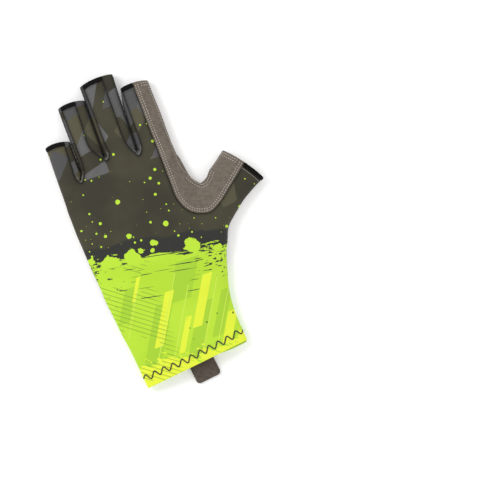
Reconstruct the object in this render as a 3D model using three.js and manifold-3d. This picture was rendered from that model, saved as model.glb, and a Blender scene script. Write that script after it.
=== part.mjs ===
// Left-hand fingerless fishing glove, lying palm down on a table.
// Millimetres. +Z is up, the fingers point towards +Y and the thumb towards +X.
import * as THREE from "three";
import { mergeVertices } from "three/addons/utils/BufferGeometryUtils.js";
import Module from "manifold-3d";

const wasm = await Module();
wasm.setup();

// The hand of the glove, measured flat
const HAND_LENGTH = 172; // hem to the knuckle line
const CUFF_WIDTH = 88;
const CUFF_HEIGHT = 13.5;
const HAND_HEIGHT = 17;
const RIM_HEIGHT = 6; // the widest line round the glove lies this far above the table
const KNUCKLE_SHIFT = -13; // the fingers stand this far to the little finger's side of the cuff
const KNUCKLE_WIDTH = 96;

// The fingers
const FINGER_LENGTH = 67.5; // knuckle line to the middle finger's opening
const FINGER_HEIGHT = 14.5;
const FINGER_LEAN = -0.03; // sideways drift of the fingers for each millimetre of length

// The thumb, measured from the bottom of its crotch
const THUMB_LENGTH = 31;
const THUMB_WIDTH = 38.8;
const THUMB_HEIGHT = 15.5;
const THUMB_ANGLE = 37.6; // degrees between the thumb and +X
const CROTCH_DEPTH = 36.3; // knuckle line to the bottom of the thumb's crotch
const CROTCH_OFFSET = 48.5; // cuff centre to the same point, across the hand

// Cloth, suede and edges
const KNIT = 1.2;
const SUEDE = 1.6;
const SEAM_GAP = 0.3;
const FINGER_GAP = 0.8;
const TIP_BOW = 1.4; // the tips' edges bulge this far in plan
const BINDING_WIDTH = 3.4;
const BINDING_PROUD = 0.45; // the binding stands out this far on each side of the knit
const PATCH_PROUD = 0.5; // the suede patch stands out this far from the knit beside it
const PATCH_DEPTH = 24; // crotch to the patch's seam on the back of the hand
const PATCH_WRAP = 8; // how far the patch goes round onto the palm
const CUFF_UNDERSIDE = 62; // hem to the edge of the suede palm

// The pull tab, a strip of suede folded double
const TAB_WIDTH = 20;
const TAB_REACH = 13; // hem to the tab's end
const TAB_TUCK = 8; // length sewn inside the cuff
const TAB_THICKNESS = 2.2;
const TAB_CORNER = 3;
const TAB_SHIFT = 3.5; // cuff centre to the tab's centre line

// One row for each finger, from the little finger to the index finger. Widths are shares of KNUCKLE_WIDTH,
// and the root widths add up to 1. length is a share of FINGER_LENGTH, height one of FINGER_HEIGHT, and
// slant the rise of the tip's edge from left to right as a share of its width. seamLeft and seamRight are
// the seams of the finger's back, at the tip and at the root, as shares of the finger's width.
const FINGERS = [
  {
    name: "little",
    rootWidth: 0.213,
    tipWidth: 0.208,
    length: 0.422,
    height: 0.9,
    slant: -0.04,
    seamLeft: { tip: 0, root: 0 },
    seamRight: { tip: 0.8, root: 0.74 },
  },
  {
    name: "ring",
    rootWidth: 0.229,
    tipWidth: 0.232,
    length: 0.822,
    height: 0.97,
    slant: 0,
    seamLeft: { tip: 0.1, root: 0.13 },
    seamRight: { tip: 0.66, root: 0.6 },
  },
  {
    name: "middle",
    rootWidth: 0.271,
    tipWidth: 0.292,
    length: 1,
    height: 1,
    slant: 0.07,
    seamLeft: { tip: 0.08, root: 0.13 },
    seamRight: { tip: 0.69, root: 0.77 },
  },
  {
    name: "index",
    rootWidth: 0.287,
    tipWidth: 0.258,
    length: 0.815,
    height: 1,
    slant: 0,
    seamLeft: { tip: 0.1, root: 0.16 },
    seamRight: { tip: 0.53, root: 0.56 },
  },
];
const PALM_SEAM = 0.12; // the palm's seams lie this share of a finger's width in from its sides

// One row for each strip between two fingers. bottom is its lowest point's distance past the knuckle line,
// as a share of FINGER_LENGTH, and shift its distance from the gap's middle, as a share of KNUCKLE_WIDTH.
const STRIPS = [
  { name: "little_ring", bottom: -0.104, shift: -0.023 },
  { name: "ring_middle", bottom: 0.052, shift: 0.004 },
  { name: "middle_index", bottom: -0.007, shift: 0.003 },
];
// The strips' round lower ends: half their width a little way up, and the height where they reach full
// width.
const STRIP_HALF_WIDTH = 3;
const STRIP_NECK = 4;
const STRIP_RISE = 14;

// Sections of the hand. along is a share of HAND_LENGTH, except in the rows by the knuckles, where it is
// one of KNUCKLE_WIDTH back from the knuckle line. knuckle goes from 0, where the widths follow the cuff,
// to 1, where they follow the knuckles. left and right are shares of that width from its centre. tilt is
// the rise of the right end and bow that of the middle, as shares of the width. height goes from the
// cuff's, at 0, to the hand's.
const HAND_ROWS = [
  { along: -0.003, knuckle: 0, left: -0.497, right: 0.489, tilt: 0.138, bow: 0, height: 0 },
  { along: 0.058, knuckle: 0, left: -0.511, right: 0.48, tilt: 0.13, bow: 0, height: 0.1 },
  { along: 0.163, knuckle: 0.05, left: -0.533, right: 0.473, tilt: 0.1, bow: 0, height: 0.35 },
  { along: 0.279, knuckle: 0.15, left: -0.551, right: 0.498, tilt: 0.06, bow: 0, height: 0.65 },
  { along: 0.384, knuckle: 0.28, left: -0.556, right: 0.556, tilt: 0.03, bow: 0, height: 0.9 },
  { along: 0.465, knuckle: 0.4, left: -0.549, right: 0.609, tilt: 0, bow: 0, height: 1 },
  { along: 0.54, knuckle: 0.5, left: -0.547, right: 0.66, tilt: 0, bow: 0.01, height: 1 },
  { along: 0.61, knuckle: 0.62, left: -0.536, right: 0.69, tilt: 0, bow: 0.02, height: 1 },
  { along: 0.68, knuckle: 0.74, left: -0.524, right: 0.69, tilt: 0, bow: 0.03, height: 0.95 },
  { along: 0.74, knuckle: 0.84, left: -0.518, right: 0.66, tilt: 0, bow: 0.04, height: 0.9 },
  { along: 0.782, knuckle: 0.9, left: -0.512, right: 0.615, tilt: 0, bow: 0.06, height: 0.8 },
  { along: 0.82, knuckle: 0.95, left: -0.507, right: 0.556, tilt: 0.01, bow: 0.09, height: 0.65 },
];
const KNUCKLE_ROWS = [
  { along: -0.233, knuckle: 1, left: -0.502, right: 0.527, tilt: 0.03, bow: 0.13, height: 0.4 },
  { along: -0.125, knuckle: 1, left: -0.49, right: 0.507, tilt: 0.04, bow: 0.193, height: 0 },
];

// Sections of a finger. back is a share of HAND_LENGTH behind the knuckle line, out a share of the finger's
// length past it, and height a share of the finger's own.
const FINGER_ROWS = [
  { back: 0.16, out: 0, height: 0.62 },
  { back: 0.06, out: 0, height: 0.95 },
  { back: 0, out: 0.3, height: 1 },
  { back: 0, out: 1, height: 0.96 },
];

// Sections of the thumb, from inside the hand to the tip. Along is a share of THUMB_LENGTH and side a share
// of THUMB_WIDTH, both from the crotch. height is a share of THUMB_HEIGHT.
const THUMB_ROWS = [
  { innerAlong: -1.38, innerSide: -0.27, outerAlong: -1.84, outerSide: 1.13, height: 0.6 },
  { innerAlong: -0.69, innerSide: -0.14, outerAlong: -1.32, outerSide: 1.25, height: 0.95 },
  { innerAlong: -0.27, innerSide: -0.08, outerAlong: -0.9, outerSide: 1.11, height: 1.06 },
  { innerAlong: 0, innerSide: 0, outerAlong: -0.55, outerSide: 0.95, height: 1.06 },
  { innerAlong: 0.18, innerSide: 0.02, outerAlong: -0.22, outerSide: 0.9, height: 1.03 },
  { innerAlong: 0.36, innerSide: -0.015, outerAlong: 0.15, outerSide: 0.88, height: 1 },
  { innerAlong: 0.64, innerSide: -0.01, outerAlong: 0.52, outerSide: 0.915, height: 1 },
  { innerAlong: 0.99, innerSide: -0.02, outerAlong: 1, outerSide: 0.98, height: 0.97 },
];

// The patch's seam on the back: round the crotch, as shares of PATCH_DEPTH from it, and then along the
// thumb.
const PATCH_ROUND_BACK = [
  { across: -1, along: 0.3 },
  { across: -0.96, along: -0.24 },
  { across: -0.73, along: -0.72 },
  { across: -0.4, along: -0.94 },
  { across: -0.02, along: -1 },
  { across: 0.4, along: -0.78 },
];
const PATCH_ON_THUMB = [
  { along: 0.15, side: 0.525 },
  { along: 0.65, side: 0.485 },
  { along: 1, side: 0.43 },
];
// The patch's seam under the palm, round the crotch, as shares of PATCH_WRAP from it.
const PATCH_ROUND_PALM = [
  { across: -1.7, along: 1 },
  { across: -1.2, along: -0.3 },
  { across: -0.3, along: -0.95 },
  { across: 0.7, along: -0.6 },
];

// Form of the sections, and fineness of the mesh
const TOP_FULLNESS = 2.3; // 2 is an ellipse, and more is squarer
const BASE_FULLNESS = 2.8;
const BASE_FLATTENING = 1.07; // the base is flat where its curve comes within this factor of the table
const RING_POINTS = 28;
const PATCH_STEPS = 50;
const STRIP_STEPS = 28;

// Reach of cutters past what they cut, and overlap of cutters that are joined
const OVERREACH = 8;
const FUSE = 0.01;

const mix = THREE.MathUtils.lerp;
const halfGap = SEAM_GAP / 2;
const sky = HAND_HEIGHT + FINGER_HEIGHT + THUMB_HEIGHT; // above all of the glove
const fingers = FINGERS.map((row) => ({
  ...row,
  rootWidth: row.rootWidth * KNUCKLE_WIDTH,
  tipWidth: row.tipWidth * KNUCKLE_WIDTH,
  length: row.length * FINGER_LENGTH,
  height: row.height * FINGER_HEIGHT,
  slant: row.slant * row.tipWidth * KNUCKLE_WIDTH,
}));
const thumbCrotch = [CROTCH_OFFSET, HAND_LENGTH - CROTCH_DEPTH];
const thumbTurn = THREE.MathUtils.degToRad(THUMB_ANGLE);
const thumbAxis = [Math.cos(thumbTurn), Math.sin(thumbTurn)];
const fingerAxis = [0, 1];

// Solids from closed meshes

function solidFrom(vertices, triangles) {
  return new wasm.Manifold(
    new wasm.Mesh({
      numProp: 3,
      vertProperties: new Float32Array(vertices),
      triVerts: new Uint32Array(triangles),
    }),
  );
}

function solidOf(geometry) {
  const bare = geometry.clone();
  bare.deleteAttribute("normal");
  bare.deleteAttribute("uv");
  const merged = mergeVertices(bare, 1e-4);
  return solidFrom(merged.attributes.position.array, merged.index.array);
}

// An upright prism over a plan outline, between two heights. Points on a straight run of the outline are
// left out.
function prism(outline, low, high) {
  const corners = outline.filter(([x, y], k) => {
    const [beforeX, beforeY] = outline.at(k - 1);
    const [afterX, afterY] = outline[(k + 1) % outline.length];
    return Math.abs((x - beforeX) * (afterY - y) - (y - beforeY) * (afterX - x)) > 1e-6;
  });
  const shape = new THREE.Shape(corners.map(([x, y]) => new THREE.Vector2(x, y)));
  const geometry = new THREE.ExtrudeGeometry(shape, { depth: high - low, bevelEnabled: false });
  return solidOf(geometry.translate(0, 0, low));
}

function meshOf(name, solid, look) {
  const { vertProperties, triVerts } = solid.getMesh();
  const geometry = new THREE.BufferGeometry();
  geometry.setAttribute("position", new THREE.BufferAttribute(vertProperties, 3));
  geometry.setIndex(new THREE.BufferAttribute(triVerts, 1));
  geometry.computeVertexNormals();
  const mesh = new THREE.Mesh(geometry, new THREE.MeshStandardMaterial({ metalness: 0, ...look }));
  mesh.name = name;
  return mesh;
}

// Lofts. A section is [leftX, leftY, rightX, rightY, bow, height]: its two ends in plan, how far its middle
// stands ahead of the line between them, and the height of its crown.

function shifted([leftX, leftY, rightX, rightY, bow, height], [axisX, axisY], distance) {
  const x = axisX * distance;
  const y = axisY * distance;
  return [leftX + x, leftY + y, rightX + x, rightY + y, bow, height];
}

// The closed ring of points round one section, grown outwards by offset. It never goes below the table.
function ringOf([leftX, leftY, rightX, rightY, bow, height], offset) {
  const halfWidth = Math.hypot(rightX - leftX, rightY - leftY) / 2;
  const acrossX = (rightX - leftX) / 2 / halfWidth;
  const acrossY = (rightY - leftY) / 2 / halfWidth;
  const base = Math.max(0, -offset);
  return Array.from({ length: RING_POINTS }, (_, k) => {
    const angle = (2 * Math.PI * k) / RING_POINTS;
    const isTop = Math.sin(angle) >= 0;
    const power = 2 / (isTop ? TOP_FULLNESS : BASE_FULLNESS);
    const side = Math.sign(Math.cos(angle)) * Math.abs(Math.cos(angle)) ** power;
    const lift = Math.abs(Math.sin(angle)) ** power;
    const z = isTop
      ? RIM_HEIGHT + (height + offset - RIM_HEIGHT) * lift
      : RIM_HEIGHT - (RIM_HEIGHT - base) * Math.min(1, lift * BASE_FLATTENING);
    const reach = side * (halfWidth + offset);
    const ahead = bow * (1 - side * side);
    const x = (leftX + rightX) / 2 + acrossX * reach - acrossY * ahead;
    const y = (leftY + rightY) / 2 + acrossY * reach + acrossX * ahead;
    return [x, y, z];
  });
}

// A closed body lofted through sections. Each end is a strip between its top edge and its base, so it
// follows the bow.
function loft(sections, offset) {
  const n = RING_POINTS;
  const triangles = [];
  for (let i = 0; i < sections.length - 1; i++) {
    for (let k = 0; k < n; k++) {
      const a = i * n + k;
      const b = i * n + ((k + 1) % n);
      triangles.push([a, a + n, b], [b, a + n, b + n]);
    }
  }
  const last = (sections.length - 1) * n;
  for (let k = 0; k < n / 2; k++) {
    const [a, b, c, d] = [k, k + 1, n - k - 1, (n - k) % n];
    if (b !== c) triangles.push([a, b, c], [last + a, last + c, last + b]);
    if (a !== d) triangles.push([a, c, d], [last + a, last + d, last + c]);
  }
  const points = sections.flatMap((section) => ringOf(section, offset));
  return solidFrom(points.flat(), triangles.flat());
}

// Places on the glove

// Edges between the fingers at a distance past the knuckle line. Each finger starts where the last one
// ends.
function fingerEdges(past) {
  const edges = [KNUCKLE_SHIFT - KNUCKLE_WIDTH / 2 + FINGER_LEAN * Math.max(0, past)];
  for (const { rootWidth, tipWidth, length } of fingers) {
    const share = THREE.MathUtils.clamp(past / length, 0, 1);
    edges.push(edges.at(-1) + mix(rootWidth, tipWidth, share));
  }
  return edges;
}

// The left and right side of one finger at a distance past the knuckle line.
function fingerSides(index, past) {
  const edges = fingerEdges(past);
  const gapLeft = index > 0 ? FINGER_GAP / 2 : 0;
  const gapRight = index < FINGERS.length - 1 ? FINGER_GAP / 2 : 0;
  return [edges[index] + gapLeft, edges[index + 1] - gapRight];
}

// A point on a finger, by its share of the width and its distance past the knuckle line.
function onFinger(index, share, past) {
  const [left, right] = fingerSides(index, past);
  return [mix(left, right, share), HAND_LENGTH + past];
}

// A point on the thumb, by its distance along the thumb and across it from the crotch.
function onThumb(along, side) {
  return [
    thumbCrotch[0] + thumbAxis[0] * along + thumbAxis[1] * side,
    thumbCrotch[1] + thumbAxis[1] * along - thumbAxis[0] * side,
  ];
}

function handSections() {
  const rows = [
    ...HAND_ROWS.map((row) => ({ ...row, y: HAND_LENGTH * row.along })),
    ...KNUCKLE_ROWS.map((row) => ({ ...row, y: HAND_LENGTH + KNUCKLE_WIDTH * row.along })),
  ];
  return rows.map(({ y, ...row }) => {
    const width = mix(CUFF_WIDTH, KNUCKLE_WIDTH, row.knuckle);
    const centre = KNUCKLE_SHIFT * row.knuckle;
    const rise = width * row.tilt;
    const left = [centre + width * row.left, y - rise / 2];
    const right = [centre + width * row.right, y + rise / 2];
    return [...left, ...right, width * row.bow, mix(CUFF_HEIGHT, HAND_HEIGHT, row.height)];
  });
}

function fingerSections(index) {
  const { length, height, slant } = fingers[index];
  return FINGER_ROWS.map((row) => {
    const past = length * row.out - HAND_LENGTH * row.back;
    const [left, right] = fingerSides(index, past);
    const isTip = row.out === 1;
    const rise = isTip ? slant : 0;
    const y = HAND_LENGTH + past;
    return [left, y - rise / 2, right, y + rise / 2, isTip ? TIP_BOW : 0, row.height * height];
  });
}

function thumbSections() {
  return THUMB_ROWS.map((row, i) => [
    ...onThumb(row.innerAlong * THUMB_LENGTH, row.innerSide * THUMB_WIDTH),
    ...onThumb(row.outerAlong * THUMB_LENGTH, row.outerSide * THUMB_WIDTH),
    i === THUMB_ROWS.length - 1 ? TIP_BOW : 0,
    row.height * THUMB_HEIGHT,
  ]);
}

const tubes = [
  ...FINGERS.map(({ name }, index) => ({ name, sections: fingerSections(index), axis: fingerAxis })),
  { name: "thumb", sections: thumbSections(), axis: thumbAxis },
];
const hem = handSections()[0];

// One finger or the thumb as a filled body, grown outwards by offset and run on past its tip by a length.
function tubeBody({ sections, axis }, offset, runOn) {
  const beyond = runOn > 0 ? [shifted(sections.at(-1), axis, runOn)] : [];
  return loft([...sections, ...beyond], offset);
}

// The whole glove as one filled body, grown outwards by offset. Where it is shrunk, its hem and tips are
// run on past the glove's own, so that what it hollows out is open.
function gloveBody(offset) {
  const runOn = offset < 0 ? OVERREACH : 0;
  const sections = handSections();
  const before = runOn > 0 ? [shifted(hem, fingerAxis, -runOn)] : [];
  const end = shifted(sections.at(-1), fingerAxis, offset);
  const hand = loft([...before, ...sections.slice(0, -1), end], offset);
  return tubes.reduce((body, tube) => body.add(tubeBody(tube, offset, runOn)), hand);
}

// Seams and edges in plan

// A curve through points, moved to its left by a distance.
function curveThrough(points, moved, steps) {
  const path = points.map(([x, y]) => new THREE.Vector3(x, y, 0));
  const curve = new THREE.CatmullRomCurve3(path, false, "centripetal");
  return Array.from({ length: steps + 1 }, (_, k) => {
    const point = curve.getPointAt(k / steps);
    const tangent = curve.getTangentAt(k / steps);
    return [point.x - tangent.y * moved, point.y + tangent.x * moved];
  });
}

// Outline of the strip between two fingers, down the left finger's seam, round the crotch and up the right
// one's. A negative move grows it.
function stripOutline(index, leftSeam, rightSeam, moved) {
  const bottom = STRIPS[index].bottom * FINGER_LENGTH;
  const shift = STRIPS[index].shift * KNUCKLE_WIDTH;
  const lowest = [fingerEdges(0)[index + 1] + shift, HAND_LENGTH + bottom];
  const top = Math.max(fingers[index].length, fingers[index + 1].length) + OVERREACH;
  const upSeam = (finger, seam) => {
    const { length } = fingers[finger];
    const start = bottom + STRIP_RISE;
    return [start, mix(start, length, 0.5), length, top].map((past) => {
      const share = THREE.MathUtils.clamp(past / length, 0, 1);
      return onFinger(finger, mix(seam.root, seam.tip, share), past);
    });
  };
  const path = [
    ...upSeam(index, leftSeam).reverse(),
    [lowest[0] - STRIP_HALF_WIDTH, lowest[1] + STRIP_NECK],
    lowest,
    [lowest[0] + STRIP_HALF_WIDTH, lowest[1] + STRIP_NECK],
    ...upSeam(index + 1, rightSeam),
  ];
  return curveThrough(path, moved, STRIP_STEPS);
}

// Outline of the suede patch, from a seam that runs down the index finger, round the crotch and out along
// the thumb.
function patchOutline(seamPoints, moved) {
  const [tipX, tipY] = seamPoints[0];
  const [endX, endY] = seamPoints.at(-1);
  const beyond = [endX + thumbAxis[0] * OVERREACH, endY + thumbAxis[1] * OVERREACH];
  const seam = curveThrough([[tipX, tipY + OVERREACH], ...seamPoints, beyond], moved, PATCH_STEPS);
  return [...seam, [beyond[0] + OVERREACH, tipY + 2 * OVERREACH]];
}

function aroundCrotch(rows, size) {
  return rows.map((row) => [thumbCrotch[0] + row.across * size, thumbCrotch[1] + row.along * size]);
}

function patchSeamBack() {
  const index = FINGERS.length - 1;
  const { length, seamRight } = fingers[index];
  return [
    onFinger(index, seamRight.tip, length),
    onFinger(index, mix(seamRight.root, seamRight.tip, 0.5), length / 2),
    onFinger(index, seamRight.root, 0),
    ...aroundCrotch(PATCH_ROUND_BACK, PATCH_DEPTH),
    ...PATCH_ON_THUMB.map((row) => onThumb(row.along * THUMB_LENGTH, row.side * THUMB_WIDTH)),
  ];
}

function patchSeamPalm() {
  const index = FINGERS.length - 1;
  const { length, rootWidth, tipWidth } = fingers[index];
  return [
    onFinger(index, 1 - PATCH_WRAP / tipWidth, length),
    onFinger(index, 1 - PATCH_WRAP / rootWidth, 0),
    ...aroundCrotch(PATCH_ROUND_PALM, PATCH_WRAP),
    onThumb(THUMB_LENGTH / 2, PATCH_WRAP),
    onThumb(THUMB_LENGTH, PATCH_WRAP),
  ];
}

// Outline of the band along a tip's edge, reaching back from it by depth and past it on the other three
// sides.
function tipOutline({ sections, axis }, depth) {
  const [leftX, leftY, rightX, rightY, bow] = sections.at(-1);
  const sides = [-1.3, -1, -0.6, -0.2, 0.2, 0.6, 1, 1.3];
  const back = sides.map((side) => {
    const ahead = bow * (1 - side * side) - depth;
    const x = mix(leftX, rightX, (side + 1) / 2);
    const y = mix(leftY, rightY, (side + 1) / 2);
    return [x + axis[0] * ahead, y + axis[1] * ahead];
  });
  const reach = depth + OVERREACH;
  const front = [back.at(-1), back[0]].map(([x, y]) => [x + axis[0] * reach, y + axis[1] * reach]);
  return [...back, ...front];
}

// Outline of all that lies within a distance of the hem.
function cuffOutline(past) {
  const [leftX, leftY, rightX, rightY] = hem;
  const reach = CUFF_WIDTH;
  const rise = ((rightY - leftY) / (rightX - leftX)) * reach;
  return [
    [leftX - reach, leftY - reach],
    [rightX + reach, leftY - reach],
    [rightX + reach, rightY + rise + past],
    [leftX - reach, leftY - rise + past],
  ];
}

// Cutters for the seams. Above the rim they follow the seams on the back, and below it those under the
// palm.

const PLAN = 3 * HAND_LENGTH;
const wholePlan = [
  [-PLAN, -PLAN],
  [PLAN, -PLAN],
  [PLAN, PLAN],
  [-PLAN, PLAN],
];
const aboveRim = prism(wholePlan, RIM_HEIGHT + halfGap, sky);
const belowRim = prism(wholePlan, -sky, RIM_HEIGHT - halfGap);

function seamCutter(backOutline, palmOutline) {
  return prism(backOutline, RIM_HEIGHT, sky).add(prism(palmOutline, -sky, RIM_HEIGHT + FUSE));
}

function stripCutter(index, moved) {
  const palmLeft = { tip: 1 - PALM_SEAM, root: 1 - PALM_SEAM };
  const palmRight = { tip: PALM_SEAM, root: PALM_SEAM };
  return seamCutter(
    stripOutline(index, FINGERS[index].seamRight, FINGERS[index + 1].seamLeft, moved),
    stripOutline(index, palmLeft, palmRight, moved),
  );
}

function patchCutter(moved) {
  return seamCutter(patchOutline(patchSeamBack(), moved), patchOutline(patchSeamPalm(), moved));
}

function bandCutter(tube, depth) {
  return prism(tipOutline(tube, depth), RIM_HEIGHT + halfGap, sky);
}

const subtractAll = (solid, cutters) => cutters.reduce((rest, cutter) => rest.subtract(cutter), solid);

// The pieces

const knitHollow = gloveBody(-KNIT);
const knitWall = gloveBody(0).subtract(knitHollow);
const suedeWall = gloveBody(0).subtract(gloveBody(-SUEDE));
const patchWall = gloveBody(PATCH_PROUD).subtract(knitHollow);
const bindingWall = gloveBody(BINDING_PROUD).subtract(gloveBody(-KNIT - BINDING_PROUD));
const sideCutters = [...STRIPS.map((_, index) => stripCutter(index, -halfGap)), patchCutter(-halfGap)];

function backPanel() {
  const bands = tubes.map((tube) =>
    bandCutter(tube, BINDING_WIDTH + SEAM_GAP).intersect(tubeBody(tube, FINGER_GAP / 2, OVERREACH)),
  );
  return subtractAll(knitWall.intersect(aboveRim), [...sideCutters, ...bands]);
}

function palmPanel() {
  const cuff = prism(cuffOutline(CUFF_UNDERSIDE + halfGap), -sky, sky);
  return subtractAll(suedeWall.intersect(belowRim), [...sideCutters, cuff]);
}

function cuffUnderside() {
  return knitWall.intersect(belowRim).intersect(prism(cuffOutline(CUFF_UNDERSIDE - halfGap), -sky, sky));
}

// The band of binding on one tip, kept to its own finger.
function binding(tube) {
  const band = bandCutter(tube, BINDING_WIDTH).intersect(tubeBody(tube, BINDING_PROUD, 0));
  return subtractAll(bindingWall.intersect(band), sideCutters);
}

// The tab lies on the inside of the cuff's underside and comes down to the table past the hem.
function pullTab() {
  const floor = KNIT + SEAM_GAP;
  const bendStart = -TAB_REACH * 0.7;
  const bendEnd = -2 * SEAM_GAP;
  const bendMiddle = (bendStart + bendEnd) / 2;
  const top = floor + TAB_THICKNESS;
  const profile = new THREE.Shape();
  profile.moveTo(-TAB_REACH, 0);
  profile.lineTo(bendStart, 0);
  profile.bezierCurveTo(bendMiddle, 0, bendMiddle, floor, bendEnd, floor);
  profile.lineTo(TAB_TUCK, floor);
  profile.lineTo(TAB_TUCK, top);
  profile.lineTo(bendEnd, top);
  profile.bezierCurveTo(bendMiddle, top, bendMiddle, TAB_THICKNESS, bendStart, TAB_THICKNESS);
  profile.lineTo(-TAB_REACH, TAB_THICKNESS);
  const options = { depth: TAB_WIDTH, bevelEnabled: false, curveSegments: 8 };
  const strip = new THREE.ExtrudeGeometry(profile, options);
  strip.rotateX(Math.PI / 2).rotateZ(Math.PI / 2).translate(-TAB_WIDTH / 2, 0, 0);
  const half = TAB_WIDTH / 2;
  const corner = -TAB_REACH + TAB_CORNER;
  const plan = new THREE.Shape();
  plan.moveTo(-half, TAB_TUCK);
  plan.lineTo(-half, corner);
  plan.absarc(-half + TAB_CORNER, corner, TAB_CORNER, Math.PI, 1.5 * Math.PI);
  plan.absarc(half - TAB_CORNER, corner, TAB_CORNER, 1.5 * Math.PI, 2 * Math.PI);
  plan.lineTo(half, TAB_TUCK);
  const outline = new THREE.ExtrudeGeometry(plan, { depth: sky, bevelEnabled: false, curveSegments: 6 });
  return solidOf(strip).intersect(solidOf(outline.translate(0, 0, -sky / 2)));
}

const printedKnit = { color: "#4a473c", roughness: 0.75 };
const limeKnit = { color: "#b9e141", roughness: 0.75 };
const darkKnit = { color: "#3f3d36", roughness: 0.75 };
const suede = { color: "#786c64", roughness: 0.95 };
const tabSuede = { color: "#5a504b", roughness: 0.95 };
const elastic = { color: "#181814", roughness: 0.6 };

const glove = new THREE.Group();
glove.add(meshOf("back_panel", backPanel(), printedKnit));
glove.add(meshOf("palm_panel", palmPanel(), suede));
glove.add(meshOf("cuff_underside", cuffUnderside(), limeKnit));
STRIPS.forEach(({ name }, index) => {
  const strip = knitWall.intersect(stripCutter(index, halfGap));
  glove.add(meshOf(`fourchette_${name}`, strip, darkKnit));
});
glove.add(meshOf("saddle_patch", patchWall.intersect(patchCutter(halfGap)), suede));
for (const tube of tubes) glove.add(meshOf(`binding_${tube.name}`, binding(tube), elastic));

const tab = meshOf("pull_tab", pullTab(), tabSuede);
const [hemLeftX, hemLeftY, hemRightX, hemRightY] = hem;
const hemSlope = (hemRightY - hemLeftY) / (hemRightX - hemLeftX);
tab.position.set(TAB_SHIFT, hemLeftY + (TAB_SHIFT - hemLeftX) * hemSlope, 0);
tab.rotation.z = Math.atan(hemSlope);
glove.add(tab);

// The glove's own frame starts on the table, under the middle of its outline.
const extent = new THREE.Box3().setFromObject(glove, true);
const middle = extent.getCenter(new THREE.Vector3());
glove.position.set(-middle.x, -middle.y, -extent.min.z);

export default new THREE.Group().add(glove);
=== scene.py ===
import math

import bpy
import numpy as np
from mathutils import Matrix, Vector, noise
from mathutils.bvhtree import BVHTree


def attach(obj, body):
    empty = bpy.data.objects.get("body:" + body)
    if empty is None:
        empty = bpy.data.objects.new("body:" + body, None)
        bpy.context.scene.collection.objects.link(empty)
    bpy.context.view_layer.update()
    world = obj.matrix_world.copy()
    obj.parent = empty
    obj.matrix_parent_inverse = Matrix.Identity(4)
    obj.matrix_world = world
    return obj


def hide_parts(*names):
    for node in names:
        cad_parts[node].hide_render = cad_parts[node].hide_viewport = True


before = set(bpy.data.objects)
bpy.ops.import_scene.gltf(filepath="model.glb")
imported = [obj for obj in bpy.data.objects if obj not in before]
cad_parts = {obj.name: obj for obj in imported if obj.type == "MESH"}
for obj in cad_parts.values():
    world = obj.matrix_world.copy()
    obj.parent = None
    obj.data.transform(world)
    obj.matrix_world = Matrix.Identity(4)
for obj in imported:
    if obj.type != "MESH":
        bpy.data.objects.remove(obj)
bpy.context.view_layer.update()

HEM_IN_FRAME = np.array([-17.12, -113.61, 0.0])
METRES = 0.001

# The hand, measured flat
HAND_LENGTH = 172.0
CUFF_WIDTH = 88.0
CUFF_HEIGHT = 13.5
HAND_HEIGHT = 17.0
RIM_HEIGHT = 6.0
KNUCKLE_SHIFT = -13.0
KNUCKLE_WIDTH = 96.0

# The fingers
FINGER_LENGTH = 67.5
FINGER_HEIGHT = 14.5
FINGER_LEAN = -0.03
FINGER_GAP = 0.8

# The thumb, measured from the bottom of its crotch
THUMB_LENGTH = 31.0
THUMB_WIDTH = 38.8
THUMB_HEIGHT = 15.5
THUMB_ANGLE = 37.6
CROTCH_DEPTH = 36.3
CROTCH_OFFSET = 48.5

# Cloth, suede and edges
KNIT = 1.2
SUEDE = 1.6
TIP_BOW = 1.4
BINDING_WIDTH = 3.4
BINDING_PROUD = 0.45
PATCH_PROUD = 0.5
PATCH_DEPTH = 24.0
PATCH_WRAP = 8.0
PALM_SEAM = 0.12
CUFF_UNDERSIDE = 62.0
HEM_PEEK = 1.4  # the underside's hem shows this far past the back's, on the side of the thumb
HEM_DEPTH = 12.0  # the cloth is turned in this far at the hem
ZIGZAG_PITCH = 7.9
ZIGZAG_HEIGHT = 4.6
ZIGZAG_FROM_HEM = 7.1
ZIGZAG_BOW = 1.8  # the zigzag lies this much further in at the hem's ends
ZIGZAG_RADIUS = 0.5
ZIGZAG_SHARPNESS = 0.82  # 0 is a round wave, 1 has points
ZIGZAG_UNEVENNESS = 0.25
ZIGZAG_STEP = 0.35
HALF_SEAM = 0.06  # pieces that are sewn together lie twice this far apart

# The pull tab
TAB_WIDTH = 20.8
TAB_REACH = 15.0
TAB_TUCK = 8.0
TAB_THICKNESS = 2.2
TAB_CORNER = 3.0
TAB_SHIFT = 3.0
TAB_SEAM = 2.0  # a line is sewn this far in from its border
TAB_SEAM_DEPTH = 0.22
TAB_SEAM_WIDTH = 0.35

# One row for each finger, from the little one. Widths are shares of KNUCKLE_WIDTH, length of FINGER_LENGTH
# and height of FINGER_HEIGHT. slant is the rise of the tip's edge. The seams on each finger's back lie at
# shares of its width, at the tip and at the root.
FINGERS = [
    dict(name="little", root=0.213, tip=0.208, length=0.422, height=0.9, slant=-0.04),
    dict(name="ring", root=0.229, tip=0.232, length=0.822, height=0.97, slant=0),
    dict(name="middle", root=0.271, tip=0.292, length=1, height=1, slant=0.07),
    dict(name="index", root=0.287, tip=0.258, length=0.815, height=1, slant=0),
]
LEFT_SEAMS = [(0, 0), (0.1, 0.13), (0.08, 0.13), (0.1, 0.16)]
RIGHT_SEAMS = [(0.8, 0.74), (0.66, 0.6), (0.69, 0.77), (0.53, 0.56)]
LENGTHS = [row["length"] * FINGER_LENGTH for row in FINGERS]
INDEX = len(FINGERS) - 1

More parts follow.
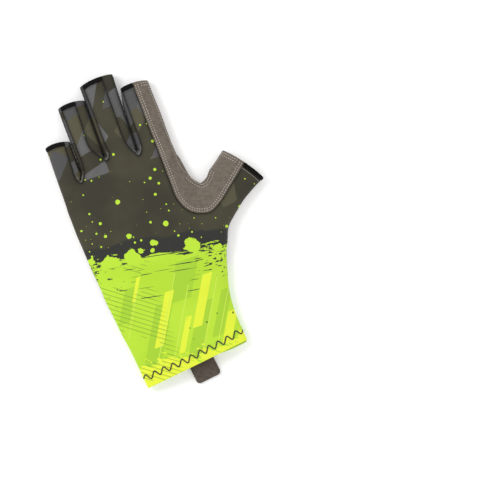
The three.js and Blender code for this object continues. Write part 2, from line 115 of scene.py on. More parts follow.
# Lower ends of the strips between the fingers: past the knuckle line, as shares of FINGER_LENGTH, and to
# the right of the gap's middle, as shares of KNUCKLE_WIDTH.
STRIPS = [
    dict(name="little_ring", bottom=-0.104, shift=-0.023),
    dict(name="ring_middle", bottom=0.052, shift=0.004),
    dict(name="middle_index", bottom=-0.007, shift=0.003),
]
STRIP_HALF_WIDTH = 3.0
STRIP_NECK = 4.0
STRIP_RISE = 14.0

# Sections of the hand: along (share of HAND_LENGTH), knuckle (0 where the widths follow the cuff, 1 where
# they follow the knuckles), left and right (shares of the width), tilt, bow, and height from the cuff's to
# the hand's. The last two are placed by KNUCKLE_WIDTH back from the knuckle line.
HAND_ROWS = [
    (-0.003, 0, -0.497, 0.489, 0.138, 0, 0),
    (0.058, 0, -0.511, 0.48, 0.13, 0, 0.1),
    (0.163, 0.05, -0.533, 0.473, 0.1, 0, 0.35),
    (0.279, 0.15, -0.551, 0.498, 0.06, 0, 0.65),
    (0.384, 0.28, -0.556, 0.556, 0.03, 0, 0.9),
    (0.465, 0.4, -0.549, 0.609, 0, 0, 1),
    (0.54, 0.5, -0.547, 0.66, 0, 0.01, 1),
    (0.61, 0.62, -0.536, 0.69, 0, 0.02, 1),
    (0.68, 0.74, -0.524, 0.69, 0, 0.03, 0.95),
    (0.74, 0.84, -0.518, 0.66, 0, 0.04, 0.9),
    (0.782, 0.9, -0.512, 0.615, 0, 0.06, 0.8),
    (0.82, 0.95, -0.507, 0.556, 0.01, 0.09, 0.65),
]
KNUCKLE_ROWS = [
    (-0.233, 1, -0.502, 0.527, 0.03, 0.13, 0.4),
    (-0.125, 1, -0.49, 0.507, 0.04, 0.193, 0),
]

# Sections of a finger: back (share of HAND_LENGTH), out (share of the finger's length), height.
FINGER_ROWS = [(0.16, 0, 0.62), (0.06, 0, 0.95), (0, 0.3, 1), (0, 1, 0.96)]

# Sections of the thumb: along and side of its inner edge, then of its outer edge, as shares of the thumb's
# length and width from the crotch, and height.
THUMB_ROWS = [
    (-1.38, -0.27, -1.84, 1.13, 0.6),
    (-0.69, -0.14, -1.32, 1.25, 0.95),
    (-0.27, -0.08, -0.9, 1.11, 1.06),
    (0, 0, -0.55, 0.95, 1.06),
    (0.18, 0.02, -0.22, 0.9, 1.03),
    (0.36, -0.015, 0.15, 0.88, 1),
    (0.64, -0.01, 0.52, 0.915, 1),
    (0.99, -0.02, 1, 0.98, 0.97),
]

# Seams of the suede patch round the crotch, as shares of PATCH_DEPTH and of PATCH_WRAP, and on the thumb.
PATCH_ROUND_BACK = [(-1, 0.3), (-0.96, -0.24), (-0.73, -0.72), (-0.4, -0.94), (-0.02, -1), (0.4, -0.78)]
PATCH_ON_THUMB = [(0.15, 0.525), (0.65, 0.505), (1, 0.487)]
PATCH_ROUND_PALM = [(-1.7, 1), (-1.2, -0.3), (-0.3, -0.95), (0.7, -0.6)]

# Form and fineness
TOP_FULLNESS = 2.3
BASE_FULLNESS = 2.8
BASE_FLATTENING = 1.07
RING_POINTS = 96
ROW_STEP = 2.0
VOXEL = 0.8
SMOOTHING = 14
RUN_ON = 7.0  # surfaces are made this far past the hem and the tips, and then cut
FAR = 99.0
PRESS = 0.55  # neighbouring fingers flatten each other by this much
PRESS_REACH = 3.0  # within this of the line between them
TOUCH = 0.02  # and keep this far from it
TIP_TUCK = 2.3  # the index's left edge is drawn in this much at its tip
TIP_TUCK_LENGTH = 15.0
SPREAD = 2.4  # while the body is fused, neighbouring fingers stand this much further apart

thumb_crotch = np.array([CROTCH_OFFSET, HAND_LENGTH - CROTCH_DEPTH])
thumb_turn = math.radians(THUMB_ANGLE)
thumb_axis = np.array([math.cos(thumb_turn), math.sin(thumb_turn)])
finger_axis = np.array([0.0, 1.0])


def mix(a, b, share):
    return a + (b - a) * share


def rise(low, high, value):
    """0 below low, 1 above high and smooth between, or the other way round where low is above high."""
    share = np.clip((value - low) / (high - low), 0, 1)
    return share * share * (3 - 2 * share)


def bell(value, width):
    """1 at zero and smoothly down to nothing on both sides."""
    return np.exp(-((value / width) ** 2))


def unit(vectors):
    return vectors / np.maximum(np.linalg.norm(vectors, axis=1), 1e-9)[:, None]


def lengths_along(path):
    """How far along a path each of its points is."""
    return np.concatenate([[0], np.cumsum(np.linalg.norm(np.diff(path, axis=0), axis=1))])


def edges_of(faces):
    """The three edges of each triangle."""
    return faces[:, [[0, 1], [1, 2], [2, 0]]]


# Places on the glove


def finger_edges(past):
    """Lines between the fingers at a distance past the knuckle line."""
    past = np.asarray(past, float)
    edges = [KNUCKLE_SHIFT - KNUCKLE_WIDTH / 2 + FINGER_LEAN * np.maximum(0, past)]
    for row, length in zip(FINGERS, LENGTHS):
        share = np.clip(past / length, 0, 1)
        edges.append(edges[-1] + KNUCKLE_WIDTH * mix(row["root"], row["tip"], share))
    return edges


def finger_sides(index, past):
    """The x of a finger's left and right side at a distance past the knuckle line."""
    edges = finger_edges(past)
    left = edges[index] + (FINGER_GAP / 2 if index > 0 else 0)
    right = edges[index + 1] - (FINGER_GAP / 2 if index < INDEX else 0)
    return left, right


def on_finger(index, share, past):
    """A place on a finger, at a share of its width from the left."""
    left, right = finger_sides(index, past)
    return np.array([mix(left, right, share), HAND_LENGTH + past])


def strip_low_x(index):
    return finger_edges(0)[index + 1] + STRIPS[index]["shift"] * KNUCKLE_WIDTH


def past_bottom(skin, index):
    """How far each row of a skin lies past the lower end of a strip."""
    return skin["y"] - HAND_LENGTH - STRIPS[index]["bottom"] * FINGER_LENGTH


def gap_x(skin, index):
    """Where each row's gap between two fingers lies."""
    return finger_edges(skin["y"] - HAND_LENGTH)[index + 1]


def on_thumb(along, side):
    """A place so far along the thumb and to its right from the bottom of the crotch."""
    x = thumb_crotch[0] + thumb_axis[0] * along + thumb_axis[1] * side
    y = thumb_crotch[1] + thumb_axis[1] * along - thumb_axis[0] * side
    return np.array([x, y])


def hand_sections():
    rows = [(HAND_LENGTH * along, *rest) for along, *rest in HAND_ROWS]
    rows += [(HAND_LENGTH + KNUCKLE_WIDTH * along, *rest) for along, *rest in KNUCKLE_ROWS]
    made = []
    for y, knuckle, left, right, tilt, bow, height in rows:
        width = mix(CUFF_WIDTH, KNUCKLE_WIDTH, knuckle)
        centre = KNUCKLE_SHIFT * knuckle
        lift = width * tilt / 2
        ends = [centre + width * left, y - lift, centre + width * right, y + lift]
        made.append([*ends, width * bow, mix(CUFF_HEIGHT, HAND_HEIGHT, height)])
    return np.array(made)


def finger_sections(index):
    row = FINGERS[index]
    made = []
    for back, out, height in FINGER_ROWS:
        past = LENGTHS[index] * out - HAND_LENGTH * back
        left, right = finger_sides(index, past)
        is_tip = out == 1
        lift = row["slant"] * row["tip"] * KNUCKLE_WIDTH / 2 if is_tip else 0
        y = HAND_LENGTH + past
        crown = height * row["height"] * FINGER_HEIGHT
        made.append([left, y - lift, right, y + lift, TIP_BOW if is_tip else 0, crown])
    return np.array(made)


def thumb_sections():
    made = []
    for inner_along, inner_side, outer_along, outer_side, height in THUMB_ROWS:
        inner = on_thumb(inner_along * THUMB_LENGTH, inner_side * THUMB_WIDTH)
        outer = on_thumb(outer_along * THUMB_LENGTH, outer_side * THUMB_WIDTH)
        made.append([*inner, *outer, 0, height * THUMB_HEIGHT])
    made[-1][4] = TIP_BOW
    return np.array(made)


# Lofts


def smooth_rows(rows, step):
    """More rows on a smooth curve through the given ones."""
    middles = (rows[:, 0:2] + rows[:, 2:4]) / 2
    at = lengths_along(middles)
    slopes = np.gradient(rows, at, axis=0)
    wanted = np.linspace(0, at[-1], max(2, round(at[-1] / step)) + 1)
    k = np.clip(np.searchsorted(at, wanted, side="right") - 1, 0, len(at) - 2)
    span = (at[k + 1] - at[k])[:, None]
    t = (wanted[:, None] - at[k][:, None]) / span
    return (
        (2 * t**3 - 3 * t**2 + 1) * rows[k]
        + (t**3 - 2 * t**2 + t) * span * slopes[k]
        + (3 * t**2 - 2 * t**3) * rows[k + 1]
        + (t**3 - t**2) * span * slopes[k + 1]
    )


def moved(section, axis, distance):
    step = axis * distance
    return np.concatenate([section[0:2] + step, section[2:4] + step, section[4:]])


def ring(section):
    """The closed ring of points round one section."""
    left, right, (bow, height) = section[0:2], section[2:4], section[4:]
    half = np.linalg.norm(right - left) / 2
    across = (right - left) / (2 * half)
    ahead = np.array([-across[1], across[0]])
    angle = np.arange(RING_POINTS) * 2 * math.pi / RING_POINTS
    is_top = np.sin(angle) >= 0
    power = 2 / np.where(is_top, TOP_FULLNESS, BASE_FULLNESS)
    side = np.sign(np.cos(angle)) * np.abs(np.cos(angle)) ** power
    lift = np.abs(np.sin(angle)) ** power
    top = RIM_HEIGHT + (height - RIM_HEIGHT) * lift
    base = RIM_HEIGHT - RIM_HEIGHT * np.minimum(1, lift * BASE_FLATTENING)
    plan = (left + right) / 2 + across * (side * half)[:, None] + ahead * (bow * (1 - side**2))[:, None]
    return np.column_stack([plan, np.where(is_top, top, base)])


def loft(sections):
    """Points and quads of a closed body through sections, with strips between top and base as its ends."""
    n = RING_POINTS
    points = np.concatenate([ring(section) for section in sections])
    k = np.arange(n)
    start = (np.arange(len(sections) - 1) * n)[:, None]
    after = (k + 1) % n
    walls = np.stack([start + k, start + n + k, start + n + after, start + after], axis=-1).reshape(-1, 4)
    h = np.arange(1, n // 2 - 1)
    cap = np.stack([h, h + 1, n - h - 1, n - h], axis=-1)
    last = (len(sections) - 1) * n
    faces = [*walls.tolist(), *cap.tolist(), *(last + cap[:, ::-1]).tolist()]
    for a, b, c in ((0, 1, n - 1), (n // 2 - 1, n // 2, n // 2 + 1)):
        faces += [[a, b, c], [last + c, last + b, last + a]]
    return points, faces


# The whole glove as one fine surface


def gap_rise(y):
    """How far each gap between two fingers is open at each y, from 0 to 1."""
    starts = [HAND_LENGTH + row["bottom"] * FINGER_LENGTH + 4 for row in STRIPS]
    return [rise(start, start + 8, y) for start in starts]


def spread(points, finger=None):
    """Points moved sideways so that the gaps between fingers open."""
    out = points.copy()
    y = points[:, 1]
    edges = finger_edges(y - HAND_LENGTH)
    for j, opening in enumerate(gap_rise(y)):
        is_right = points[:, 0] > edges[j + 1] if finger is None else finger > j
        out[:, 0] += SPREAD * opening * is_right
    return out


def unspread(points):
    """Points moved back together, and the number of the finger that each is in line with."""
    out = points.copy()
    y = points[:, 1]
    edges = finger_edges(y - HAND_LENGTH)
    before = np.zeros(len(points))
    finger = np.zeros(len(points), int)
    for j, opening in enumerate(gap_rise(y)):
        jump = SPREAD * opening
        is_right = points[:, 0] > edges[j + 1] + before + jump / 2
        out[:, 0] -= jump * is_right
        finger += is_right
        before += jump
    return out, finger


def pressed(points, finger):
    """Points with neighbouring fingers pressed flat against each other."""
    out = points.copy()
    edges = finger_edges(points[:, 1] - HAND_LENGTH)
    for j, opening in enumerate(gap_rise(points[:, 1])):
        away = points[:, 0] - edges[j + 1]
        side = np.where(finger > j, 1, -1)
        near = (1 - rise(PRESS_REACH / 5, PRESS_REACH, np.abs(away))) * rise(0.05, 0.4, opening)
        closer = np.maximum(np.abs(away) - PRESS * near, TOUCH)
        out[:, 0] = np.where(near > 0, edges[j + 1] + side * closer, out[:, 0])
    return out


def fused(parts):
    """One triangulated surface round several closed bodies."""
    points, faces = [], []
    count = 0
    for part_points, part_faces in parts:
        points.append(part_points)
        faces += [[count + v for v in face] for face in part_faces]
        count += len(part_points)
    mesh = bpy.data.meshes.new("form")
    mesh.from_pydata(np.concatenate(points).tolist(), [], faces)
    form = bpy.data.objects.new("form", mesh)
    bpy.context.scene.collection.objects.link(form)
    remesh = form.modifiers.new("fuse", "REMESH")
    remesh.mode = "VOXEL"
    remesh.voxel_size = VOXEL
    made = form.evaluated_get(bpy.context.evaluated_depsgraph_get()).to_mesh()
    out = np.empty(len(made.vertices) * 3)
    made.vertices.foreach_get("co", out)
    made.calc_loop_triangles()
    triangles = np.empty(len(made.loop_triangles) * 3, int)
    made.loop_triangles.foreach_get("vertices", triangles)
    bpy.data.objects.remove(form)
    bpy.data.meshes.remove(mesh)
    return out.reshape(-1, 3), triangles.reshape(-1, 3)


def smoothed(points, faces, rounds, shrink, grow):
    """Points averaged with their neighbours. A grow of nearly the same size as shrink keeps the volume."""
    pairs = np.unique(np.sort(edges_of(faces).reshape(-1, 2), axis=1), axis=0)
    a, b = pairs[:, 0], pairs[:, 1]
    n = len(points)
    degree = np.bincount(a, None, n) + np.bincount(b, None, n)
    for _ in range(rounds):
        for weight in (shrink, grow):
            total = [np.bincount(a, points[b, i], n) + np.bincount(b, points[a, i], n) for i in range(3)]
            points = points + weight * (np.stack(total, axis=1) / degree[:, None] - points)
    return points


def normals_of(points, faces):
    corner = points[faces]
    face_normals = np.cross(corner[:, 1] - corner[:, 0], corner[:, 2] - corner[:, 0])
    flat = faces.ravel()
    wide = np.repeat(face_normals, 3, axis=0)
    return unit(np.stack([np.bincount(flat, wide[:, i], len(points)) for i in range(3)], axis=1))


# Curves in plan


def curve_through(points, step=1.0):
    """A smooth path through points, in steps of about one length."""
    points = np.array(points, float)
    padded = np.concatenate([[2 * points[0] - points[1]], points, [2 * points[-1] - points[-2]]])
    path = []
    for k in range(len(points) - 1):
        p = padded[k : k + 4]
        knots = np.concatenate([[0], np.cumsum(np.sqrt(np.linalg.norm(np.diff(p, axis=0), axis=1)))])
        count = max(2, round(np.linalg.norm(p[2] - p[1]) / step))
        t = np.linspace(knots[1], knots[2], count, endpoint=False)[:, None]

        def between(a, b, low, high):
            return ((high - t) * a + (t - low) * b) / (high - low)

        a1 = between(p[0], p[1], knots[0], knots[1])
        a2 = between(p[1], p[2], knots[1], knots[2])
        a3 = between(p[2], p[3], knots[2], knots[3])
        b1 = between(a1, a2, knots[0], knots[2])
        b2 = between(a2, a3, knots[1], knots[3])
        path.append(between(b1, b2, knots[1], knots[2]))
    return np.concatenate([*path, points[-1:]])


def near_path(path, plan):
    """Distance of each place from a path, positive to its left, and how far along the path it is."""
    start, step = path[:-1], np.diff(path, axis=0)
    length = np.linalg.norm(step, axis=1)
    before = lengths_along(path)
    nearest = np.full(len(plan), np.inf)
    side = np.ones(len(plan))
    along = np.zeros(len(plan))
    for k in range(len(start)):
        away = plan - start[k]
        share = np.clip(away @ step[k] / length[k] ** 2, 0, 1)
        gap = away - share[:, None] * step[k]
        distance = np.hypot(gap[:, 0], gap[:, 1])
        closer = distance < nearest
        nearest[closer] = distance[closer]
        side[closer] = np.where(step[k, 0] * away[:, 1] < step[k, 1] * away[:, 0], -1, 1)[closer]
        along[closer] = (before[k] + share * length[k])[closer]
    return nearest * side, along


def strip_path(index, left_seam, right_seam):
    """Seam of the strip between two fingers: down the left one, round the crotch and up the right one."""
    bottom = STRIPS[index]["bottom"] * FINGER_LENGTH
    lowest = np.array([strip_low_x(index), HAND_LENGTH + bottom])
    longest = max(LENGTHS[index : index + 2])

    def up_seam(finger, seam):
        length = LENGTHS[finger]
        first = bottom + STRIP_RISE
        places = (first, mix(first, length, 0.5), length, longest + RUN_ON)
        shares = [np.clip(past / length, 0, 1) for past in places]
        return [on_finger(finger, mix(seam[1], seam[0], s), p) for s, p in zip(shares, places)]

    crotch = [lowest + [aside * STRIP_HALF_WIDTH, abs(aside) * STRIP_NECK] for aside in (-1, 0, 1)]
    return curve_through([*up_seam(index, left_seam)[::-1], *crotch, *up_seam(index + 1, right_seam)])


def beyond_ends(points):
    """Points with one more beyond the fingertip and one beyond the thumb's tip."""
    first = points[0] + finger_axis * RUN_ON
    last = points[-1] + thumb_axis * RUN_ON
    return [first, *points, last]


def patch_back_path():
    tip, root = RIGHT_SEAMS[INDEX]
    length = LENGTHS[INDEX]
    places = ((tip, length), ((tip + root) / 2, length / 2), (root, 0))
    on_index = [on_finger(INDEX, share, past) for share, past in places]
    around = [thumb_crotch + np.array(row) * PATCH_DEPTH for row in PATCH_ROUND_BACK]
    out = [on_thumb(along * THUMB_LENGTH, side * THUMB_WIDTH) for along, side in PATCH_ON_THUMB]
    return curve_through(beyond_ends([*on_index, *around, *out]))


def patch_palm_path():
    def in_from_side(key, past):
        return on_finger(INDEX, 1 - PATCH_WRAP / (FINGERS[INDEX][key] * KNUCKLE_WIDTH), past)

    on_index = [in_from_side("tip", LENGTHS[INDEX]), in_from_side("root", 0)]
    around = [thumb_crotch + np.array(place) * PATCH_WRAP for place in PATCH_ROUND_PALM]
    out = [on_thumb(THUMB_LENGTH / 2, PATCH_WRAP), on_thumb(THUMB_LENGTH, PATCH_WRAP)]
    return curve_through(beyond_ends([*on_index, *around, *out]))


def crotch_edge_path():
    """The glove's edge from the index fingertip round the thumb's crotch to the thumb's tip."""
    on_index = [on_finger(INDEX, 1, past) for past in (LENGTHS[INDEX], 0)]
    knuckle = [section[2:4] for section in hand_sections()[-2:][::-1]]
    inner = [on_thumb(row[0] * THUMB_LENGTH, row[1] * THUMB_WIDTH) for row in THUMB_ROWS[3:]]
    return curve_through([*on_index, *knuckle, *inner])


# Skins: triangles over rows of numbers, with named columns for places, normals and distances

PLACE_COLUMNS = ["x", "y", "z", "nx", "ny", "nz"]


class Skin:
    def __init__(self, columns, rows, faces):
        self.columns = columns
        self.rows = rows
        self.faces = faces

    def __getitem__(self, name):
        return self.rows[:, self.columns.index(name)]

    @property
    def points(self):
        return self.rows[:, 0:3]

    @property
    def normals(self):
        return unit(self.rows[:, 3:6])


def triangles(*corners):
    """Triangles from triples of corner numbers, each a number or an array."""
    stacks = [np.stack(np.broadcast_arrays(*three), -1) for three in corners]
    return np.concatenate([stack.reshape(-1, 3) for stack in stacks])


def compact(columns, rows, faces):
    used, faces = np.unique(faces, return_inverse=True)
    return Skin(columns, rows[used], faces.reshape(-1, 3))


def crossings(skin, value):
    """Points where a value passes zero on the edges of a skin, for each triangle that it crosses."""
    count = (value > 0)[skin.faces].sum(axis=1)
    crossed = (count == 1) | (count == 2)
    cut, lone = skin.faces[crossed], count[crossed] == 1
    first = np.argmax((value > 0)[cut] == lone[:, None], axis=1)
    order = (first[:, None] + np.arange(3)) % 3
    a, b, c = np.take_along_axis(cut, order, axis=1).T
    pairs = np.sort(np.concatenate([np.stack([a, b], 1), np.stack([a, c], 1)]), axis=1)
    pairs, which = np.unique(pairs, axis=0, return_inverse=True)
    low, high = pairs.T
    share = value[low] / (value[low] - value[high])
    rows = skin.rows[low] + (skin.rows[high] - skin.rows[low]) * share[:, None]
    on_ab, on_ac = which.reshape(2, -1)
    return count, lone, (a, b, c), rows, on_ab, on_ac


def clipped(skin, value):
    """The part of a skin where a value is positive."""
    value = np.where(np.abs(value) < 1e-3, 1e-3, value)
    count, lone, (a, b, c), rows, on_ab, on_ac = crossings(skin, value)
    n = len(skin.rows)
    ab, ac = n + on_ab, n + on_ac
    cut = [triangles((a, ab, ac))[lone], triangles((ab, b, c))[~lone], triangles((ab, c, ac))[~lone]]
    faces = np.concatenate([skin.faces[count == 3], *cut])
    return compact(skin.columns, np.concatenate([skin.rows, rows]), faces)


def refined(skin, near):
    """A skin whose edges are halved where both their ends are near."""
    faces = skin.faces
    pairs = np.sort(edges_of(faces), axis=2)
    split = near[pairs].all(axis=2)
    halves, which = np.unique(pairs[split], axis=0, return_inverse=True)
    middle = np.full(split.shape, -1)
    middle[split] = len(skin.rows) + which.ravel()
    number = split.sum(axis=1)

    def turned(mask, first):
        order = (first[:, None] + np.arange(3)) % 3
        return np.take_along_axis(faces[mask], order, 1), np.take_along_axis(middle[mask], order, 1)

    mask = number == 3
    (a, b, c), (p, q, r) = faces[mask].T, middle[mask].T
    out = [faces[number == 0], triangles((a, p, r), (p, b, q), (r, q, c), (p, q, r))]
    mask = number == 1
    face, mid = turned(mask, np.argmax(split[mask], axis=1))
    (a, b, c), p = face.T, mid[:, 0]
    out.append(triangles((a, p, c), (p, b, c)))
    mask = number == 2
    face, mid = turned(mask, (np.argmin(split[mask], axis=1) + 1) % 3)
    (a, b, c), (p, q) = face.T, mid[:, 0:2].T
    out.append(triangles((a, p, c), (p, b, q), (p, q, c)))
    rows = np.concatenate([skin.rows, skin.rows[halves].mean(axis=1)])
    return Skin(skin.columns, rows, np.concatenate(out))


def lines_at(skin, value):
    """Chains of rows along the lines where a value is zero, if they are longer than three rows."""
    _, _, _, rows, ends_a, ends_b = crossings(skin, np.where(value == 0, 1e-6, value))
    links = {}
    for a, b in zip(ends_a.tolist(), ends_b.tolist()):
        links.setdefault(a, []).append(b)
        links.setdefault(b, []).append(a)
    chains = []
    left = dict.fromkeys(sorted(links, key=lambda k: (len(links[k]) != 1, k)))
    while left:
        here = next(iter(left))
        chain = []
        while here is not None:
            left.pop(here, None)
            chain.append(here)
            here = next((k for k in links[here] if k in left), None)
        if len(chain) > 3:
            chains.append(rows[chain])
    return chains


def walled(skin, outer, inner):
    """Points and triangles of a closed wall, between a skin moved out by one distance and by another."""
    n = len(skin.rows)
    points = np.concatenate([skin.points + skin.normals * out[:, None] for out in (outer, inner)])
    edges = edges_of(skin.faces).reshape(-1, 2)
    _, index, count = np.unique(np.sort(edges, axis=1), axis=0, return_index=True, return_counts=True)
    a, b = edges[index[count == 1]].T
    rim = triangles((b, a, a + n), (b, a + n, b + n))
    return points, np.concatenate([skin.faces, skin.faces[:, ::-1] + n, rim])


# The body's surface, with folds


def distance_to_tips(points, finger):
    """Distance of each point back from the opening of its finger or of the thumb, and large elsewhere."""
    x, y = points[:, 0], points[:, 1]
    nearest = np.full(len(points), FAR)
    for index, length in enumerate(LENGTHS):
        left, right = finger_sides(index, np.minimum(y - HAND_LENGTH, length))
        side = np.clip((2 * x - left - right) / (right - left), -1.1, 1.1)
        lift = FINGERS[index]["slant"] * (right - left) / 2 * side
        back = HAND_LENGTH + length + lift + TIP_BOW * (1 - side**2) - y
        here = (finger == index) & (y > HAND_LENGTH) & (back < 0.6 * length)
        nearest = np.where(here, back, nearest)
    away = points[:, 0:2] - thumb_crotch
    along = away @ thumb_axis
    side = away @ np.array([thumb_axis[1], -thumb_axis[0]])
    inner_along, inner_side, outer_along, outer_side, _ = THUMB_ROWS[-1]
    share = (side / THUMB_WIDTH - inner_side) / (outer_side - inner_side)
    end = THUMB_LENGTH * mix(inner_along, outer_along, share) + TIP_BOW * (1 - (2 * share - 1) ** 2)
    here = (along > 0.3 * THUMB_LENGTH) & (share > -0.2) & (share < 1.2)
    return np.where(here, end - along, nearest)


def hem_line():
    """Left end of the hem, x of its right end, and how steeply it rises."""
    left_x, left_y, right_x, right_y = hand_sections()[0][0:4]
    return left_x, left_y, right_x, (right_y - left_y) / (right_x - left_x)


def distance_to_hem(points):
    left_x, left_y, _, slope = hem_line()
    return (points[:, 1] - left_y - (points[:, 0] - left_x) * slope) * math.cos(math.atan(slope))


# Soft folds in the back: from one place to another, how high and how wide.
FOLDS = [
    ((36, 112), (12, 96), 0.9, 5.0),
    ((44, 108), (30, 84), 0.8, 4.5),
    ((60, 112), (44, 92), 0.7, 4.0),
    ((-50, 118), (-20, 108), 0.6, 6.0),
    ((-52, 70), (-12, 78), 0.7, 7.0),
    ((40, 62), (8, 54), 0.7, 6.0),
    ((-46, 40), (-14, 34), 0.6, 6.0),
    ((-30, 176), (-32, 148), 0.5, 4.0),
    ((-4, 178), (-6, 150), 0.5, 4.5),
    ((15, 178), (14, 152), 0.5, 4.0),
    ((-54, 172), (-52, 150), 0.4, 3.5),
    ((74, 134), (58, 118), 0.5, 3.5),
]
MOTTLE_HEIGHT = 0.45
MOTTLE_SIZE = 26.0

# Places where the edge stands a little further out: the index's root and the outer side of the thumb.
BULGES = [
    dict(place=(38, 156), push=(1.1, 0.2), reach=13.0),
    dict(place=(73, 107), push=(0.75, -0.8), reach=15.0),
]


def bulged(points):
    """Points moved outwards in plan round each of the BULGES."""
    out = points.copy()
    for row in BULGES:
        away = np.hypot(*(points[:, 0:2] - row["place"]).T)
        out[:, 0:2] += bell(away, row["reach"])[:, None] * row["push"]
    return out


def fold_heights(points):
    plan = points[:, 0:2]
    total = np.zeros(len(points))
    for start, end, height, width in FOLDS:
        step = np.subtract(end, start).astype(float)
        share = (plan - start) @ step / (step @ step)
        gap = plan - start - np.clip(share, 0, 1)[:, None] * step
        ridge = height * bell(np.hypot(gap[:, 0], gap[:, 1]), width)
        total += ridge * (0.4 + 0.6 * bell(share - 0.4, 0.5))
    wave = [noise.noise(Vector(p) / MOTTLE_SIZE) for p in points.tolist()]
    return total + MOTTLE_HEIGHT * np.array(wave)


def body_skin():
    """The glove's outer surface, past its hem and tips, with its distances from seams and edges."""
    rows = smooth_rows(hand_sections(), ROW_STEP)
    points, faces = loft([moved(rows[0], finger_axis, -RUN_ON), *rows])
    parts = [(spread(points), faces)]
    for index in range(len(FINGERS)):
        rows = smooth_rows(finger_sections(index), ROW_STEP)
        points, faces = loft([*rows, moved(rows[-1], finger_axis, RUN_ON)])
        parts.append((spread(points, index), faces))
    rows = smooth_rows(thumb_sections(), ROW_STEP)
    parts.append(loft([*rows, moved(rows[-1], thumb_axis, RUN_ON)]))
    points, faces = fused(parts)
    points, finger = unspread(points)
    points = smoothed(points, faces, SMOOTHING, 0.5, -0.52)
    points = bulged(pressed(points, finger))
    tucked = rise(-TIP_TUCK_LENGTH, 2, -distance_to_tips(points, finger)) * (finger == INDEX)
    left, right = finger_sides(INDEX, points[:, 1] - HAND_LENGTH)
    points[:, 0] += TIP_TUCK * tucked * np.clip((right - points[:, 0]) / (right - left), 0, 1) ** 1.5
    lift = rise(0.5, 5.5, points[:, 2])
    folds = fold_heights(points) * lift * rise(-2, 16, distance_to_hem(points))
    folds *= rise(0, 8, distance_to_tips(points, finger))
    points = points + normals_of(points, faces) * folds[:, None]
    points[:, 2] = np.maximum(points[:, 2], 0)
    plan, z = points[:, 0:2], points[:, 2]
    peek = HEM_PEEK * rise(12, 32, points[:, 0]) * (1 - rise(RIM_HEIGHT - 3, RIM_HEIGHT, z))
    above = rise(RIM_HEIGHT - 1.5, RIM_HEIGHT + 1.5, z)
    columns = [*PLACE_COLUMNS, "tip", "hem", "rim", "edge", "patch", "patch_along"]
    values = [distance_to_tips(points, finger), distance_to_hem(points) + peek, z - RIM_HEIGHT]
    values.append(-near_path(crotch_edge_path(), plan)[0])
    back, along = near_path(patch_back_path(), plan)
    palm, _ = near_path(patch_palm_path(), plan)
    values += [mix(palm, back, above), along]
    for index, row in enumerate(STRIPS):
        back, along = near_path(strip_path(index, RIGHT_SEAMS[index], LEFT_SEAMS[index + 1]), plan)
        palm, _ = near_path(strip_path(index, (1 - PALM_SEAM,) * 2, (PALM_SEAM,) * 2), plan)
        columns += [row["name"], row["name"] + "_along"]
        values += [mix(palm, back, above), along]
    return Skin(columns, np.column_stack([points, normals_of(points, faces), *values]), faces)


# Making pieces

LIP = 0.9  # radius of a turned edge


def turned_edge(distance, radius=LIP):
    """0 at an open edge, 1 a radius inside it and round between."""
    inside = 1 - np.clip(distance / radius, 0.02, 1)
    return np.sqrt(1 - inside * inside)


SEAM_NAMES = [*(row["name"] for row in STRIPS), "patch"]


def seam_gap(skin):
    """Distance of each row to the nearest seam of its piece."""
    return np.abs([skin[name] for name in SEAM_NAMES]).min(axis=0)


def add_piece(name, points, faces, paint, is_inside=None):
    """A mesh object in the shared frame that rides on the part. Some faces can have the inside's finish."""
    mesh = bpy.data.meshes.new(name)
    mesh.from_pydata(((points + HEM_IN_FRAME) * METRES).tolist(), [], faces.tolist())
    mesh.materials.append(paint)
    if is_inside is not None:
        mesh.materials.append(INSIDE)
        mesh.polygons.foreach_set("material_index", is_inside.astype(int))
    mesh.shade_smooth()
    mesh.update()
    made = bpy.data.objects.new(name, mesh)
    bpy.context.scene.collection.objects.link(made)
    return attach(made, "root")


LOWEST = 0.02  # the cloth keeps this far above the resting face
THINNEST = 0.2
SEAM_DIP = 0.75
SEAM_DIP_WIDTH = 0.7
PUCKER = 0.16
PUCKER_PITCH = 3.6
PUCKER_REACH = 2.8
HEM_STEP = 0.3
HEM_PUCKER = 0.14


def relief(skin, seam, along):
    """Height of a piece beside its seams: it dips into the seam, with small puckers."""
    dip = -SEAM_DIP * bell(seam, SEAM_DIP_WIDTH)
    wave = np.sin(2 * math.pi * along / PUCKER_PITCH + 2 * np.sin(along / 5.3))
    hem = HEM_STEP * (1 - rise(HEM_DEPTH - 1, HEM_DEPTH + 0.5, skin["hem"]))
    gathers = np.sin(4 * math.pi * skin["x"] / ZIGZAG_PITCH) * bell(skin["hem"] - ZIGZAG_FROM_HEM, 4)
    return dip + PUCKER * wave * np.exp(-seam / PUCKER_REACH) + hem + HEM_PUCKER * gathers


# Where a strip starts, its cloth curls: a hollow that goes on into the gap between the fingers, a ridge, a
# second hollow beside the right seam, and a rolled lip round them.
CURL_LENGTH = 9.0
CURL_ROWS = [
    dict(aside=-0.9, height=-2.6, width=0.85, low=1.9, high=7.5),
    dict(aside=0.45, height=0.5, width=0.6, low=2.4, high=9.0),
    dict(aside=1.75, height=-2.2, width=0.7, low=2.0, high=6.5),
]
CURL_LIP = 0.85
CURL_WALL = 0.5  # the cloth is this thin there, so that its back stays clear of its front


